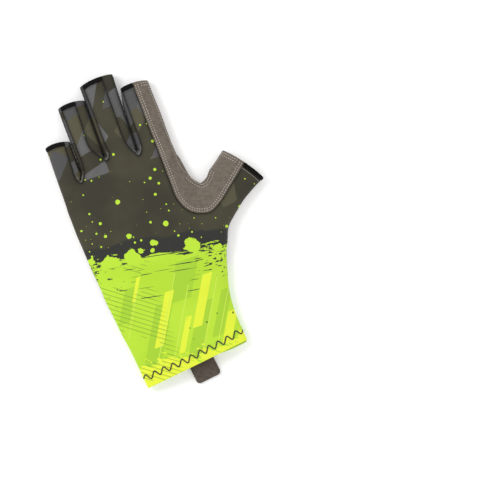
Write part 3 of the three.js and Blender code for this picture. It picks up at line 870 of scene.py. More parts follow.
def curled(skin, index):
    """A strip's skin with its lower end curled, the painted highlight on each place of its rolled lip, and
    the painted shade in its hollows.
    """
    inside = skin[STRIPS[index]["name"]]
    past = past_bottom(skin, index)
    aside = skin["x"] - mix(strip_low_x(index), gap_x(skin, index), rise(1, 6, past))
    height = 0
    for fold in CURL_ROWS:
        low, high = fold["low"], fold["high"]
        here = rise(low - 1, low + 0.8, past) * (1 - rise(high - 2.5, high, past))
        height = height + fold["height"] * here * bell(aside - fold["aside"], fold["width"])
    height = height * rise(0.2, 1.8, inside)
    near_end = 1 - rise(CURL_LENGTH * 0.5, CURL_LENGTH, past)
    lip = bell(inside - 1.2, 0.7) * near_end * mix(0.5, 1, rise(-2, 0, aside))
    is_top = rise(4, 9, skin["z"])
    rows = skin.rows.copy()
    rows[:, 2] += (height + CURL_LIP * lip) * is_top
    made = Skin(skin.columns, rows, skin.faces)
    rows[:, 3:6] = mix(skin.normals, normals_of(made.points, made.faces), rise(0.4, 1.6, inside)[:, None])
    return made, lip * is_top, PAINTED_SHADE_IN_CURL * np.clip(-height / 1.6, 0, 1) * is_top


# Strengths of the painted shade: at a seam, beside it, by the gaps between fingers and in the curls'
# hollows.
PAINTED_SHADE_AT_SEAM = 0.85
PAINTED_SHADE_BY_SEAM = 0.34
PAINTED_SHADE_IN_GAP = 0.8
PAINTED_SHADE_IN_CURL = 0.9


def gap_shade(skin):
    """How much painted shade each place gets beside the gaps between fingers."""
    shade = 0
    for index in range(len(STRIPS)):
        near = 1 - rise(0.2, 2.6, np.abs(skin["x"] - gap_x(skin, index)))
        shade = np.maximum(shade, near * rise(3, 8, past_bottom(skin, index)) * rise(-1, 3, skin["tip"]))
    return shade


def seam_shade(seam):
    """How much painted shade each place gets beside a seam, where the cloth turns down into it."""
    at_seam = PAINTED_SHADE_AT_SEAM * (1 - rise(0.2, 0.8, seam))
    return np.maximum(at_seam, PAINTED_SHADE_BY_SEAM * (1 - rise(0.3, 3.2, seam)))


def in_curls(skin):
    """True for rows by the lower ends of the strips."""
    found = np.zeros(len(skin.rows), bool)
    for index in range(len(STRIPS)):
        past = past_bottom(skin, index)
        aside = skin["x"] - gap_x(skin, index)
        found |= (past > -1) & (past < CURL_LENGTH + 4) & (np.abs(aside) < CURL_LENGTH)
    return found


def wall_piece(name, skin, seam, along, paint, node, wall=KNIT, proud=0.0, painted_highlight=0.0, dark=0.0):
    """A piece of the glove's wall. Its open edges are turned, and its back has the inside's finish."""
    turn_in = (1 - turned_edge(np.minimum(skin["tip"], skin["hem"]))) * wall * 0.5
    outer = relief(skin, seam, along) + proud - turn_in
    inner = np.minimum(proud * 0.5 - wall + turn_in, outer - THINNEST)
    curls = in_curls(skin)
    inner = np.where(curls, np.maximum(inner, outer - CURL_WALL), inner)
    points, faces = walled(skin, outer, inner)
    points[:, 2] = np.maximum(points[:, 2], LOWEST)
    count = len(skin.faces)
    is_inside = np.zeros(len(faces), bool)
    deep = skin["hem"][skin.faces].mean(axis=1) > HEM_DEPTH
    deep &= skin["tip"][skin.faces].mean(axis=1) > BINDING_WIDTH
    deep &= ~curls[skin.faces].any(axis=1)
    is_inside[count : 2 * count] = deep
    made = add_piece(name, points, faces, paint, is_inside)
    # Painted shade beside seams, gaps and in the curls, and the painted highlight on the curls' lips, go to
    # the materials as attributes.
    shade = np.maximum(np.maximum(seam_shade(seam), PAINTED_SHADE_IN_GAP * gap_shade(skin)), dark)
    for title, value in (("shade", shade), ("painted_highlight", painted_highlight + 0 * shade)):
        mark = made.data.attributes.new(title, "FLOAT", "POINT")
        mark.data.foreach_set("value", np.concatenate([value, 0 * value]))
    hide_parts(node)
    outside = Skin(skin.columns, skin.rows.copy(), skin.faces)
    outside.rows[:, 0:3] = points[: len(skin.rows)]
    outside.rows[:, 3:6] = normals_of(outside.points, skin.faces)
    return outside


# Threads


def tube_faces(rings, sides):
    """Triangles of a closed tube over rings of points."""
    k = np.arange(sides)
    start = (np.arange(rings - 1) * sides)[:, None]
    a, b = start + k, start + (k + 1) % sides
    fan = np.arange(1, sides - 1)
    last = (rings - 1) * sides
    caps = (0, fan + 1, fan), (last, last + fan, last + fan + 1)
    return triangles((a, b, b + sides), (a, b + sides, a + sides), *caps)


def stitch_template(length, radius, sides=6, rings=5):
    """One stitch, along x, that dives into the cloth at both ends."""
    points = []
    for t in np.linspace(-1, 1, rings):
        thick = radius * math.sqrt(max(0.05, 1 - 0.8 * t**4))
        centre = radius * (0.55 - 1.1 * t * t)
        for k in range(sides):
            turn = 2 * math.pi * k / sides
            points.append((t * length / 2, thick * math.cos(turn), centre + thick * math.sin(turn)))
    return np.array(points), tube_faces(rings, sides)


def places_along(chain, pitch):
    """Centres, directions and normals at even steps along a chain of rows."""
    at = lengths_along(chain[:, 0:3])
    wanted = np.arange(pitch / 2, at[-1], pitch)

    def values(shift, first):
        return np.column_stack([np.interp(wanted + shift, at, chain[:, first + i]) for i in range(3)])

    return values(0, 0), unit(values(pitch / 3, 0) - values(-pitch / 3, 0)), unit(values(0, 3))


def stitches(chains, pitch, length, radius):
    """Stitches along chains of rows."""
    shape, shape_faces = stitch_template(length, radius)
    points, faces = [], []
    count = 0
    for chain in chains:
        centre, along, normal = places_along(chain, pitch)
        if not len(centre):
            continue
        along = np.cross(unit(np.cross(normal, along)), normal)
        made = centre[:, None]
        for i, axis in enumerate((along, np.cross(normal, along), normal)):
            made = made + axis[:, None] * shape[None, :, i : i + 1]
        points.append(made.reshape(-1, 3))
        starts = count + np.arange(len(centre)) * len(shape)
        faces.append((starts[:, None, None] + shape_faces[None]).reshape(-1, 3))
        count += len(centre) * len(shape)
    return np.concatenate(points), np.concatenate(faces)


def thread_tube(path, normals, radius, sides=8):
    """A round thread along a path of points."""
    along = unit(np.gradient(path, axis=0))
    aside = unit(np.cross(normals, along))
    up = np.cross(along, aside)
    turn = np.arange(sides) * 2 * math.pi / sides
    rings = path[:, None]
    for axis, share in ((aside, np.cos(turn)), (up, np.sin(turn))):
        rings = rings + radius * axis[:, None] * share[None, :, None]
    return rings.reshape(-1, 3), tube_faces(len(path), sides)


# Materials


def colour(red, green, blue):
    """A screen colour, 0 to 255, as the shader's linear colour."""
    shares = [value / 255 for value in (red, green, blue)]
    return [s / 12.92 if s <= 0.04045 else ((s + 0.055) / 1.055) ** 2.4 for s in shares] + [1.0]


class Value:
    """A number that differs over the surface. Sums and products of it become shader nodes."""

    def __init__(self, paint, socket):
        self.paint = paint
        self.socket = socket

    def __add__(self, other):
        return self.paint.math("ADD", self, other)

    def __sub__(self, other):
        return self.paint.math("SUBTRACT", self, other)

    def __mul__(self, other):
        return self.paint.math("MULTIPLY", self, other)

    def __abs__(self):
        return self.paint.math("ABSOLUTE", self)


class Paint:
    """A material, with short calls for its nodes."""

    def __init__(self, name, roughness, sheen=0.0, specular=0.5):
        self.material = bpy.data.materials.new(name)
        self.material.use_nodes = True
        self.tree = self.material.node_tree
        self.shader = self.tree.nodes["Principled BSDF"]
        self.shader.inputs["Roughness"].default_value = roughness
        self.shader.inputs["Sheen Weight"].default_value = sheen
        self.shader.inputs["Specular IOR Level"].default_value = specular
        place = self.node("ShaderNodeTexCoord").outputs["Object"]
        self.place = self.vector("MULTIPLY_ADD", place, (1 / METRES,) * 3, tuple(-HEM_IN_FRAME))
        parts = self.node("ShaderNodeSeparateXYZ", {0: self.place}).outputs
        self.x, self.y = Value(self, parts[0]), Value(self, parts[1])

    def set(self, socket, value):
        if isinstance(value, Value):
            value = value.socket
        if isinstance(value, bpy.types.NodeSocket):
            self.tree.links.new(value, socket)
        elif value is not None:
            socket.default_value = value

    def node(self, kind, inputs=None, **settings):
        made = self.tree.nodes.new(kind)
        for name, value in settings.items():
            setattr(made, name, value)
        for name, value in (inputs or {}).items():
            self.set(made.inputs[name], value)
        return made

    def vector(self, operation, a, b=None, c=None):
        return self.node("ShaderNodeVectorMath", {0: a, 1: b, 2: c}, operation=operation).outputs[0]

    def math(self, operation, a, b=None):
        return Value(self, self.node("ShaderNodeMath", {0: a, 1: b}, operation=operation).outputs[0])

    def wave(self, value, pitch):
        return self.math("SINE", value * (2 * math.pi / pitch))

    def step(self, value, low, high):
        """0 below low, 1 above high and smooth between."""
        inputs = {"Value": value, "From Min": low, "From Max": high}
        made = self.node("ShaderNodeMapRange", inputs, interpolation_type="SMOOTHSTEP")
        return Value(self, made.outputs["Result"])

    def blend(self, share, a, b):
        return self.node("ShaderNodeMix", {0: share, 6: a, 7: b}, data_type="RGBA").outputs[2]

    def places(self, size, turn=0.0, shift=(0, 0)):
        """Places turned and moved in plan, and divided by a size, one for all or one for each way."""
        inputs = {"Vector": self.place, "Rotation": (0, 0, turn), "Location": (*shift, 0)}
        size = size if isinstance(size, tuple) else (size,) * 3
        return self.vector("DIVIDE", self.node("ShaderNodeMapping", inputs).outputs[0], size)

    def noise(self, size, detail=2.0, turn=0.0, shift=(0, 0), roughness=0.5, output="Fac"):
        inputs = {"Vector": self.places(size, turn, shift), "Detail": detail, "Roughness": roughness}
        made = self.node("ShaderNodeTexNoise", {"Scale": 1.0, **inputs})
        return Value(self, made.outputs[output])

    def cells(self, places):
        """Distance from the middle of each place's cell in plan, and the cell's three random numbers."""
        made = self.node("ShaderNodeTexVoronoi", {"Vector": places, "Scale": 1.0}, voronoi_dimensions="2D")
        random = self.node("ShaderNodeSeparateColor", {0: made.outputs["Color"]}).outputs
        return [Value(self, socket) for socket in (made.outputs["Distance"], *random)]

    def with_painted_shade(self, base, dark, light):
        """A colour that goes over to a dark one as painted shade beside seams, gaps and in hollows, and to
        a light one as a painted highlight on the rolled lips.
        """
        marks = [self.node("ShaderNodeAttribute", attribute_name=name) for name in ("shade", "painted_highlight")]
        shade, painted_highlight = (Value(self, mark.outputs["Fac"]) for mark in marks)
        return self.blend(painted_highlight * 0.7, self.blend(shade, base, dark), light)

    def slab(self, x, y, width, height):
        """1 inside a leaning bar with level ends, whose lower end has its middle at a place."""
        above = self.y - y
        across = abs(self.x - x - above * SLAB_LEAN)
        inside = self.step(across, width / 2 + SLAB_SOFTNESS, width / 2 - SLAB_SOFTNESS)
        from_middle = abs(above - height / 2)
        return inside * self.step(from_middle, height / 2 + SLAB_SOFTNESS, height / 2 - SLAB_SOFTNESS)

    def finish(self, base, height, depth):
        """Sets the colour, and a bump from a height between 0 and 1 that is depth millimetres deep."""
        self.set(self.shader.inputs["Base Color"], base)
        bump = self.node("ShaderNodeBump", {"Height": height, "Distance": depth * METRES, "Strength": 1.0})
        self.set(self.shader.inputs["Normal"], bump.outputs[0])
        return self.material


OLIVE = colour(71, 68, 52)
OLIVE_DEEP = colour(57, 55, 43)
OLIVE_LIGHT = colour(87, 83, 64)
GREY = colour(102, 101, 101)
GREY_DEEP = colour(82, 81, 82)
CHARCOAL = colour(50, 50, 47)
LIME = colour(184, 225, 54)
LIME_BRIGHT = colour(192, 232, 60)
LIME_DEEP = colour(159, 205, 54)
YELLOW = colour(236, 248, 64)
LEAF = colour(118, 160, 52)
LEAF_DARK = colour(74, 96, 44)
# Colour of the painted shade beside seams, gaps and in the curls
PAINTED_SEAM_SHADE = colour(14, 14, 12)
# Colour of the painted highlight on the strips' rolled lips
PAINTED_LIP_HIGHLIGHT = colour(132, 132, 124)
PALE_LINE = colour(212, 240, 90)

RIB_PITCH = 0.85
LOOP_PITCH = 0.65

# The print
PRINT_EDGE = 91.5  # height of the line between the dark and the lime part on the hand's middle line
PRINT_SLOPE = -0.16
PRINT_TILT = math.atan(-PRINT_SLOPE)
EDGE_RAGGED = 34.0  # the brushed edge wanders over this height
CHARCOAL_REACH = 34.0  # the charcoal band's upper side wanders over this height
FINGERS_FROM = 166.0  # grey patches are printed above this y
THUMB_FROM = 53.0  # and past this x
HEM_SLOPE = 0.139
HEM_RAGGED = 52.0  # the yellow hem's brushed edge wanders over this height
HEM_LIFT = 11.0  # and reaches this much further up on the little finger's side
HEM_LIMIT = -21.0
HATCH_PITCH = 4.2
HATCH_SLOPE = 0.7
HATCH_STRENGTH = 0.6


def knit_height(paint):
    """Fine ribs of knit with rows across them."""
    weave = paint.wave(paint.x, RIB_PITCH) * paint.wave(paint.y, LOOP_PITCH) * 0.25 + 0.5
    return paint.noise(0.5, detail=3.0) * 0.5 + weave


def shards(paint, shift):
    """Dark olive cloth, and the colour and share of the angular patches on it."""
    _, pick, tone, _ = paint.cells(paint.places((15.0, 24.0, 1.0), 0.7, shift))
    base = paint.blend(paint.step(paint.noise(34.0), 0.3, 0.7), OLIVE_DEEP, OLIVE)
    light = paint.blend(paint.step(tone, 0.2, 0.9), GREY_DEEP, GREY)
    light = paint.blend(paint.step(pick, 0.64, 0.645), OLIVE_LIGHT, light)
    return base, light, paint.step(pick, 0.5, 0.505)


def splashes(paint, cell, smallest, largest, share, shift, wobble=0.0):
    """Drops, each in its own cell, where share is how many cells hold one. A wobble makes them ragged."""
    places = paint.places((cell, cell, 1.0), 0.0, shift)
    if wobble:
        bend = paint.vector("SUBTRACT", paint.noise(5.0, detail=3.0, output="Color"), (0.5, 0.5, 0.5))
        places = paint.vector("MULTIPLY_ADD", bend, (wobble / cell,) * 3, places)
    distance, pick, size, _ = paint.cells(places)
    radius = size * size * (largest - smallest) + smallest
    return paint.step(radius - distance * cell, -0.1, 0.15) * paint.math("LESS_THAN", pick, share)


# The print's leaning bars on the lime part: place of the lower end, width, height and colour.
SLAB_LEAN = 0.55
SLAB_SOFTNESS = 0.12
FAINT_SLAB = 0.6
STRONG_SLAB = 0.9
SLABS = [
    (-34, 10, 15, 44, LIME_DEEP),
    (0, 6, 12, 40, LIME_DEEP),
    (2, 52, 19, 30, LIME_DEEP),
    (22, 16, 9, 34, LIME_DEEP),
    (-46, 48, 9, 26, LIME_DEEP),
    (-25, 22, 7.5, 40, YELLOW),
    (-9, 12, 5, 26, YELLOW),
    (9, 28, 8, 38, YELLOW),
    (27, 8, 8, 24, YELLOW),
    (-33, 62, 3, 18, YELLOW),
    (-31, 8, 0.8, 66, PALE_LINE),
    (-16, 10, 0.7, 52, PALE_LINE),
    (5, 4, 0.8, 58, PALE_LINE),
    (18, 6, 0.7, 62, PALE_LINE),
    (-46, 36, 0.7, 34, PALE_LINE),
]


def lime_part(paint, above):
    """The lower part of the print: leaning bars, a brushed hem, hatching, flecks and bristle marks."""
    x, y = paint.x, paint.y
    lime = paint.blend(paint.step(paint.noise((40.0, 26.0, 20.0)), 0.35, 0.65), LIME, LIME_BRIGHT)
    for *place, tint in SLABS:
        strength = FAINT_SLAB if tint is LIME_DEEP else STRONG_SLAB
        lime = paint.blend(paint.slab(*place) * strength, lime, tint)
    brushed = paint.noise((13.0, 5.0, 8.0), detail=5.0, turn=0.5, roughness=0.65)
    height = y - x * HEM_SLOPE - brushed * HEM_RAGGED - paint.step(x, 2.0, -26.0) * HEM_LIFT
    lime = paint.blend(paint.step(height, HEM_LIMIT + 0.5, HEM_LIMIT), lime, YELLOW)
    stripes = paint.step(paint.wave(x * HATCH_SLOPE + y, HATCH_PITCH), 0.7, 0.84)
    _, _, _, other = paint.cells(paint.places((20.0, 16.0, 1.0), 0.4, (5.0, 11.0)))
    hatch = stripes * paint.math("GREATER_THAN", other, 0.3) * paint.step(x, -8.0, -18.0)
    lime = paint.blend(hatch * HATCH_STRENGTH, lime, LEAF)
    flecks = splashes(paint, 4.6, 0.1, 0.9, 0.3, (2.0, 7.0), wobble=2.0)
    flecks = flecks * paint.step(paint.noise((11.0, 9.0, 9.0)), 0.56, 0.6)
    lime = paint.blend(flecks * paint.step(y, 62.0, 50.0), lime, LEAF_DARK)
    bristle = paint.noise((130.0, 1.6, 1.5), detail=1.0, turn=PRINT_TILT, shift=(0.0, 5.0))
    return paint.blend(paint.step(bristle + above * 0.005, 0.56, 0.575), lime, CHARCOAL)


def print_colour(paint):
    """The printed cloth: dark camouflage over lime, with a brushed edge between them."""
    above = paint.y - (paint.x * PRINT_SLOPE + PRINT_EDGE)
    base, light, is_light = shards(paint, (7.0, 3.0))
    on_fingers = paint.step(paint.y, FINGERS_FROM, FINGERS_FROM + 0.5)
    on_thumb = paint.step(paint.x, THUMB_FROM, THUMB_FROM + 0.5)
    dark = paint.blend(is_light * paint.math("MAXIMUM", on_fingers, on_thumb), base, light)
    band = above - paint.noise((34.0, 9.0, 9.0), detail=3.0, turn=PRINT_TILT) * CHARCOAL_REACH
    dark = paint.blend(paint.step(band, -2.0, -5.0), dark, CHARCOAL)

    ragged = paint.noise((26.0, 4.5, 5.0), 4.0, PRINT_TILT, (40.0, 0.0), 0.62) * EDGE_RAGGED
    ragged = ragged + (above - EDGE_RAGGED / 2)
    whole = paint.blend(paint.step(ragged, -0.3, 0.3), lime_part(paint, above), dark)

    share = paint.math("MAXIMUM", above * -0.012 + 0.62, 0.11)
    small = splashes(paint, 5.5, 0.15, 1.3, share, (1.0, 2.0))
    large = splashes(paint, 15.0, 0.6, 3.0, share * 0.8, (6.0, 4.0), wobble=1.5)
    blots = splashes(paint, 21.0, 2.5, 8.0, above * -0.045 + 0.9, (3.0, 9.0), wobble=7.0)
    drops = paint.math("MAXIMUM", paint.math("MAXIMUM", small, large), blots)
    return paint.blend(drops * paint.step(above, -6.0, -4.0), whole, LIME_BRIGHT)


def side_colour(paint):
    base, light, is_light = shards(paint, (30.0, 12.0))
    return paint.blend(is_light, base, light)


def lime_colour(paint):
    _, pick, _, _ = paint.cells(paint.places((28.0, 20.0, 1.0), -0.5))
    return paint.blend(pick, LIME, LIME_DEEP)


def inside_colour(paint):
    return paint.blend(paint.noise(12.0, detail=4.0), colour(168, 170, 162), colour(196, 198, 190))


def knit(name, colour_of, has_painted_shade=False, roughness=0.72, sheen=0.03, specular=0.25, depth=0.06):
    """Knitted cloth in one of the colours above. If asked, it gets painted shade beside seams, gaps and
    curls, and a painted highlight on the rolled lips.
    """
    paint = Paint(name, roughness, sheen, specular)
    base = colour_of(paint)
    if has_painted_shade:
        base = paint.with_painted_shade(base, PAINTED_SEAM_SHADE, PAINTED_LIP_HIGHLIGHT)
    return paint.finish(base, knit_height(paint), depth)


def suede(name, dark, light, worn):
    """Brushed suede, with its nap rubbed paler in places, and painted shade beside its seams."""
    paint = Paint(name, 0.95, sheen=0.12, specular=0.15)
    nap = paint.noise(0.7, detail=4.0, roughness=0.7)
    brushed = paint.noise((3.2, 2.2, 3.0), detail=3.0, turn=0.6)
    cloud = paint.noise(16.0, detail=3.0)
    base = paint.blend(paint.step(brushed, 0.3, 0.7), dark, light)
    base = paint.blend(paint.step(nap, 0.45, 0.75) * 0.5, base, worn)
    base = paint.blend(paint.step(cloud, 0.5, 0.75) * 0.3, base, worn)
    return paint.finish(paint.with_painted_shade(base, dark, worn), nap, 0.22)


def elastic():
    """Black tape with fine ribs."""
    paint = Paint("elastic", 0.8, specular=0.15)
    grain = paint.noise(0.5, detail=3.0)
    base = paint.blend(grain, colour(6, 6, 6), colour(17, 17, 16))
    return paint.finish(base, paint.wave(paint.x + paint.y, 0.8) * 0.25 + grain, 0.12)


def thread(name, dark, light):
    paint = Paint(name, 0.6, sheen=0.3, specular=0.4)
    fleck = paint.noise(0.35)
    return paint.finish(paint.blend(fleck, dark, light), fleck, 0.05)


# The pieces

PRINTED = knit("printed_knit", print_colour, True)
SIDE = knit("side_knit", side_colour, True, 0.75)
LIME_KNIT = knit("lime_knit", lime_colour)
INSIDE = knit("inside_knit", inside_colour, False, 0.85, 0.2, 0.3, 0.08)
SUEDE_PAINT = suede("suede", colour(103, 94, 85), colour(119, 109, 99), colour(136, 126, 115))
TAB_PAINT = suede("tab_suede", colour(80, 71, 66), colour(98, 88, 81), colour(110, 100, 92))
ELASTIC = elastic()
PALE_THREAD = thread("pale_thread", colour(172, 163, 152), colour(212, 204, 193))
DARK_THREAD = thread("dark_thread", colour(18, 22, 16), colour(38, 42, 30))
GREY_THREAD = thread("grey_thread", colour(120, 118, 110), colour(158, 156, 146))
SEAM_THREAD = thread("seam_thread", colour(34, 33, 29), colour(62, 60, 54))

body = body_skin()
body = clipped(body, body["tip"])
body = clipped(body, body["hem"])


def outside_seams(skin):
    """The part of a skin that lies outside the strips and the patch."""
    for name in SEAM_NAMES:
        skin = clipped(skin, -skin[name] - HALF_SEAM)
    return skin


def nearest_along(skin):
    """How far along its nearest seam each row is."""
    nearest = np.abs([skin[name] for name in SEAM_NAMES]).argmin(axis=0)
    places = np.stack([skin[name + "_along"] for name in SEAM_NAMES])
    return np.take_along_axis(places, nearest[None], 0)[0]


upper = clipped(body, body["rim"] - HALF_SEAM)
lower = clipped(body, -body["rim"] - HALF_SEAM)

# Each piece is made finer where it's nearer than this to a seam or an open edge.
FINE_BACK = 1.1
FINE_PALM = 1.6
FINE_STRIP = 2.2
FINE_SADDLE = 2.4

# Back of the hand
back = outside_seams(clipped(upper, upper["tip"] - BINDING_WIDTH))
near = np.minimum(np.minimum(seam_gap(back), back["hem"]), back["tip"] - BINDING_WIDTH) < FINE_BACK
back = refined(back, near)
gap = np.minimum(seam_gap(back), np.maximum(back["tip"] - BINDING_WIDTH, 0))
along = nearest_along(back)
back_outside = wall_piece("printed_back", back, gap, along, PRINTED, "back_panel")

# Palm and the underside of the cuff
palm = outside_seams(clipped(lower, lower["hem"] - CUFF_UNDERSIDE - HALF_SEAM))
palm = refined(palm, np.minimum(seam_gap(palm), palm["tip"]) < FINE_PALM)
gap = np.minimum(seam_gap(palm), palm["hem"] - CUFF_UNDERSIDE)
along = nearest_along(palm)
palm_outside = wall_piece("suede_palm", palm, gap, along, SUEDE_PAINT, "palm_panel", SUEDE)

cuff = clipped(lower, CUFF_UNDERSIDE - HALF_SEAM - lower["hem"])
cuff = refined(cuff, np.minimum(cuff["hem"], CUFF_UNDERSIDE - cuff["hem"]) < FINE_PALM)
gap = CUFF_UNDERSIDE - cuff["hem"]
cuff_outside = wall_piece(
    "lime_cuff_underside", cuff, gap, cuff["x"], LIME_KNIT, "cuff_underside"
)

# Strips between the fingers
strip_outsides = []
for index, name in enumerate(SEAM_NAMES[:-1]):
    strip = clipped(body, body[name] - HALF_SEAM)
    strip = refined(strip, np.minimum(strip[name], strip["tip"]) < FINE_STRIP)
    for _ in range(2):
        in_curl = past_bottom(strip, index) < CURL_LENGTH * 1.3
        strip = refined(strip, in_curl & (strip["z"] > RIM_HEIGHT - 1))
    # The curl's painted highlight on the lip and painted shade in the hollows
    strip, painted_highlight, dark = curled(strip, index)
    title, node, along = "side_strip_" + name, "fourchette_" + name, strip[name + "_along"]
    strip_outsides.append(
        wall_piece(title, strip, strip[name], along, SIDE, node, painted_highlight=painted_highlight, dark=dark)
    )

# Suede patch from the index finger to the thumb
SADDLE_STIFFNESS = 1.6  # its dip, puckers and painted shade beside the seam reach less far than knit's by this
saddle = clipped(body, body["patch"] - HALF_SEAM)
saddle = refined(saddle, np.minimum(saddle["patch"], saddle["tip"]) < FINE_SADDLE)
gap, along = saddle["patch"] * SADDLE_STIFFNESS, saddle["patch_along"]
wall = KNIT + PATCH_PROUD
saddle_outside = wall_piece(
    "suede_saddle", saddle, gap, along, SUEDE_PAINT, "saddle_patch", wall, PATCH_PROUD
)

# Elastic on the openings
BAND_ROUND = 0.7
OPENING_ROUND = 1.3
BAND_SUNK = 0.3  # the band's inner edge lies this far under the cloth's face
bands = outside_seams(clipped(upper, BINDING_WIDTH - 2 * HALF_SEAM - upper["tip"]))
tube = sum((bands["x"] > gap_x(bands, index)).astype(int) for index in range(len(STRIPS)))
tube = np.where(bands["y"] < HAND_LENGTH, len(FINGERS), tube)
for number, name in enumerate([*(row["name"] for row in FINGERS), "thumb"]):
    faces = bands.faces[(tube[bands.faces] == number).all(axis=1)]
    band = compact(bands.columns, bands.rows, faces)
    for _ in range(2):
        band = refined(band, np.ones(len(band.rows), bool))
    far = turned_edge(BINDING_WIDTH - band["tip"], BAND_ROUND)
    near = turned_edge(band["tip"], OPENING_ROUND)
    outer = (BINDING_PROUD + BAND_SUNK) * far * near - BAND_SUNK - (1 - near) * KNIT * 0.4
    inner = -(KNIT + BINDING_PROUD) + (1 - near) * KNIT * 0.5
    points, faces = walled(band, outer, inner)
    piece = add_piece("edge_binding_" + name, points, faces, ELASTIC)
    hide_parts("binding_" + name)

# The pull tab, folded double


def tab_piece():
    """A flat strip with round corners that rises over the hem, wavy, with a line sewn round its border."""
    step = 0.5
    across = np.arange(-TAB_WIDTH / 2 - 1, TAB_WIDTH / 2 + 1 + step, step)
    along = np.arange(-TAB_REACH - 1, TAB_TUCK + 1 + step, step)
    x, y = (grid.ravel() for grid in np.meshgrid(across, along))
    n = len(across)
    a = (np.arange(len(along) - 1)[:, None] * n + np.arange(n - 1)).ravel()
    faces = triangles((a, a + 1, a + n + 1), (a, a + n + 1, a + n))
    centre = (TAB_TUCK - TAB_REACH) / 2
    half_x = TAB_WIDTH / 2 - TAB_CORNER
    half_y = (TAB_TUCK + TAB_REACH) / 2 - TAB_CORNER
    out_x, out_y = np.abs(x) - half_x, np.abs(y - centre) - half_y
    outside = np.hypot(np.maximum(out_x, 0), np.maximum(out_y, 0)) + np.minimum(np.maximum(out_x, out_y), 0)
    border = TAB_CORNER - outside
    lift = (KNIT + 0.3) * rise(-TAB_REACH * 0.7, -0.6, y)
    crown = 0.25 * np.sin(x * 0.5) * rise(0, 4, border)
    z = TAB_THICKNESS / 2 + lift + crown * rise(-1, -6, y)
    rows = np.column_stack([x, y, z, 0 * x, 0 * x, 0 * x + 1, border])
    skin = Skin([*PLACE_COLUMNS, "border"], rows, faces)
    skin = clipped(skin, skin["border"])
    skin = refined(skin, skin["border"] < 1.4)
    round_edge = turned_edge(skin["border"], 1.0)
    seam = TAB_SEAM_DEPTH * bell(skin["border"] - TAB_SEAM, TAB_SEAM_WIDTH)
    half = TAB_THICKNESS / 2 * (0.18 + 0.82 * round_edge) - seam
    points, faces = walled(skin, half, -half)
    left_x, left_y, _, slope = hem_line()
    turn = math.atan(slope)
    plan = points[:, 0:2] @ np.array([[math.cos(turn), math.sin(turn)], [-math.sin(turn), math.cos(turn)]])
    points[:, 0:2] = plan + [TAB_SHIFT, left_y + (TAB_SHIFT - left_x) * slope]
    made = add_piece("suede_tab", points, faces, TAB_PAINT)
    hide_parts("pull_tab")


tab_piece()

# Rows of stitches


def part_of(chains, keep):
    """The runs of chains where keep is true, if they are longer than three rows."""
    runs = []
    for chain in chains:
        flags = keep(chain)
        start = None
        for k, flag in enumerate([*flags.tolist(), False]):
            if flag and start is None:
                start = k
            elif not flag and start is not None:
                if k - start > 3:
                    runs.append(chain[start:k])
                start = None
    return runs


def column(chain, name):
    return chain[:, body.columns.index(name)]


def on_top(chain):
    return column(chain, "z") > RIM_HEIGHT + 0.8


def from_crotch(chain):
    return np.hypot(*(chain[:, 0:2] - thumb_crotch).T)


def rows_at(skin, name, away, keep):
    """Chains along a skin at a distance from a seam or an edge, where keep is true."""
    return part_of(lines_at(skin, skin[name] - away), keep)


def edge_row(away):
    """A chain along the patch's free edge."""
    return rows_at(saddle_outside, "edge", away, lambda c: on_top(c) & (column(c, "tip") > 5))


# Pitch, length and radius of the stitches
STITCHES = dict(
    saddle_stitches=(2.05, 1.15, 0.37),
    saddle_edge_stitches=(2.05, 1.0, 0.27),
    finger_seam_stitches=(2.0, 1.25, 0.2),
    palm_stitches=(2.2, 1.5, 0.34),
    thumb_top_stitch=(1.25, 1.3, 0.26),
)


def add_stitches(name, chains, paint):
    points, faces = stitches(chains, *STITCHES[name])
    add_piece(name, points, faces, paint)


SEAM_ROWS = (1.5, 3.3)  # distances from the patch's seam
EDGE_ROWS = (2.0, 4.0)  # distances from its ends and its free edge
CROTCH_ROUND = 13.0  # the free edge has these two rows this near the thumb's crotch, and one beyond

chains = []
for away in SEAM_ROWS:
    chains += rows_at(saddle_outside, "patch", away, lambda c: column(c, "tip") > 1.2)
for away in EDGE_ROWS:
    chains += rows_at(saddle_outside, "tip", away, lambda c: on_top(c) & (column(c, "patch") > 4.5))
for away in EDGE_ROWS:
    chains += part_of(edge_row(away), lambda c: from_crotch(c) < CROTCH_ROUND)
add_stitches("saddle_stitches", chains, PALE_THREAD)

chains = part_of(edge_row(1.2), lambda c: from_crotch(c) > CROTCH_ROUND)
add_stitches("saddle_edge_stitches", chains, PALE_THREAD)

chains = []
for name in SEAM_NAMES[:-1]:
    chains += rows_at(back_outside, name, -0.9, lambda c: column(c, "tip") > 4)
for outside in strip_outsides:
    chains += rows_at(outside, "tip", 3.0, on_top)
add_stitches("finger_seam_stitches", chains, SEAM_THREAD)

chains = lines_at(palm_outside, palm_outside["hem"] - CUFF_UNDERSIDE - 1.5)
chains += rows_at(palm_outside, "tip", 2.5, lambda c: column(c, "z") < RIM_HEIGHT - 1)
add_stitches("palm_stitches", chains, PALE_THREAD)

chains = rows_at(back_outside, "tip", 5.0, lambda c: (c[:, 0] > 60) & (c[:, 1] < HAND_LENGTH - 10))
add_stitches("thumb_top_stitch", chains, GREY_THREAD)

# Zigzag along the hem


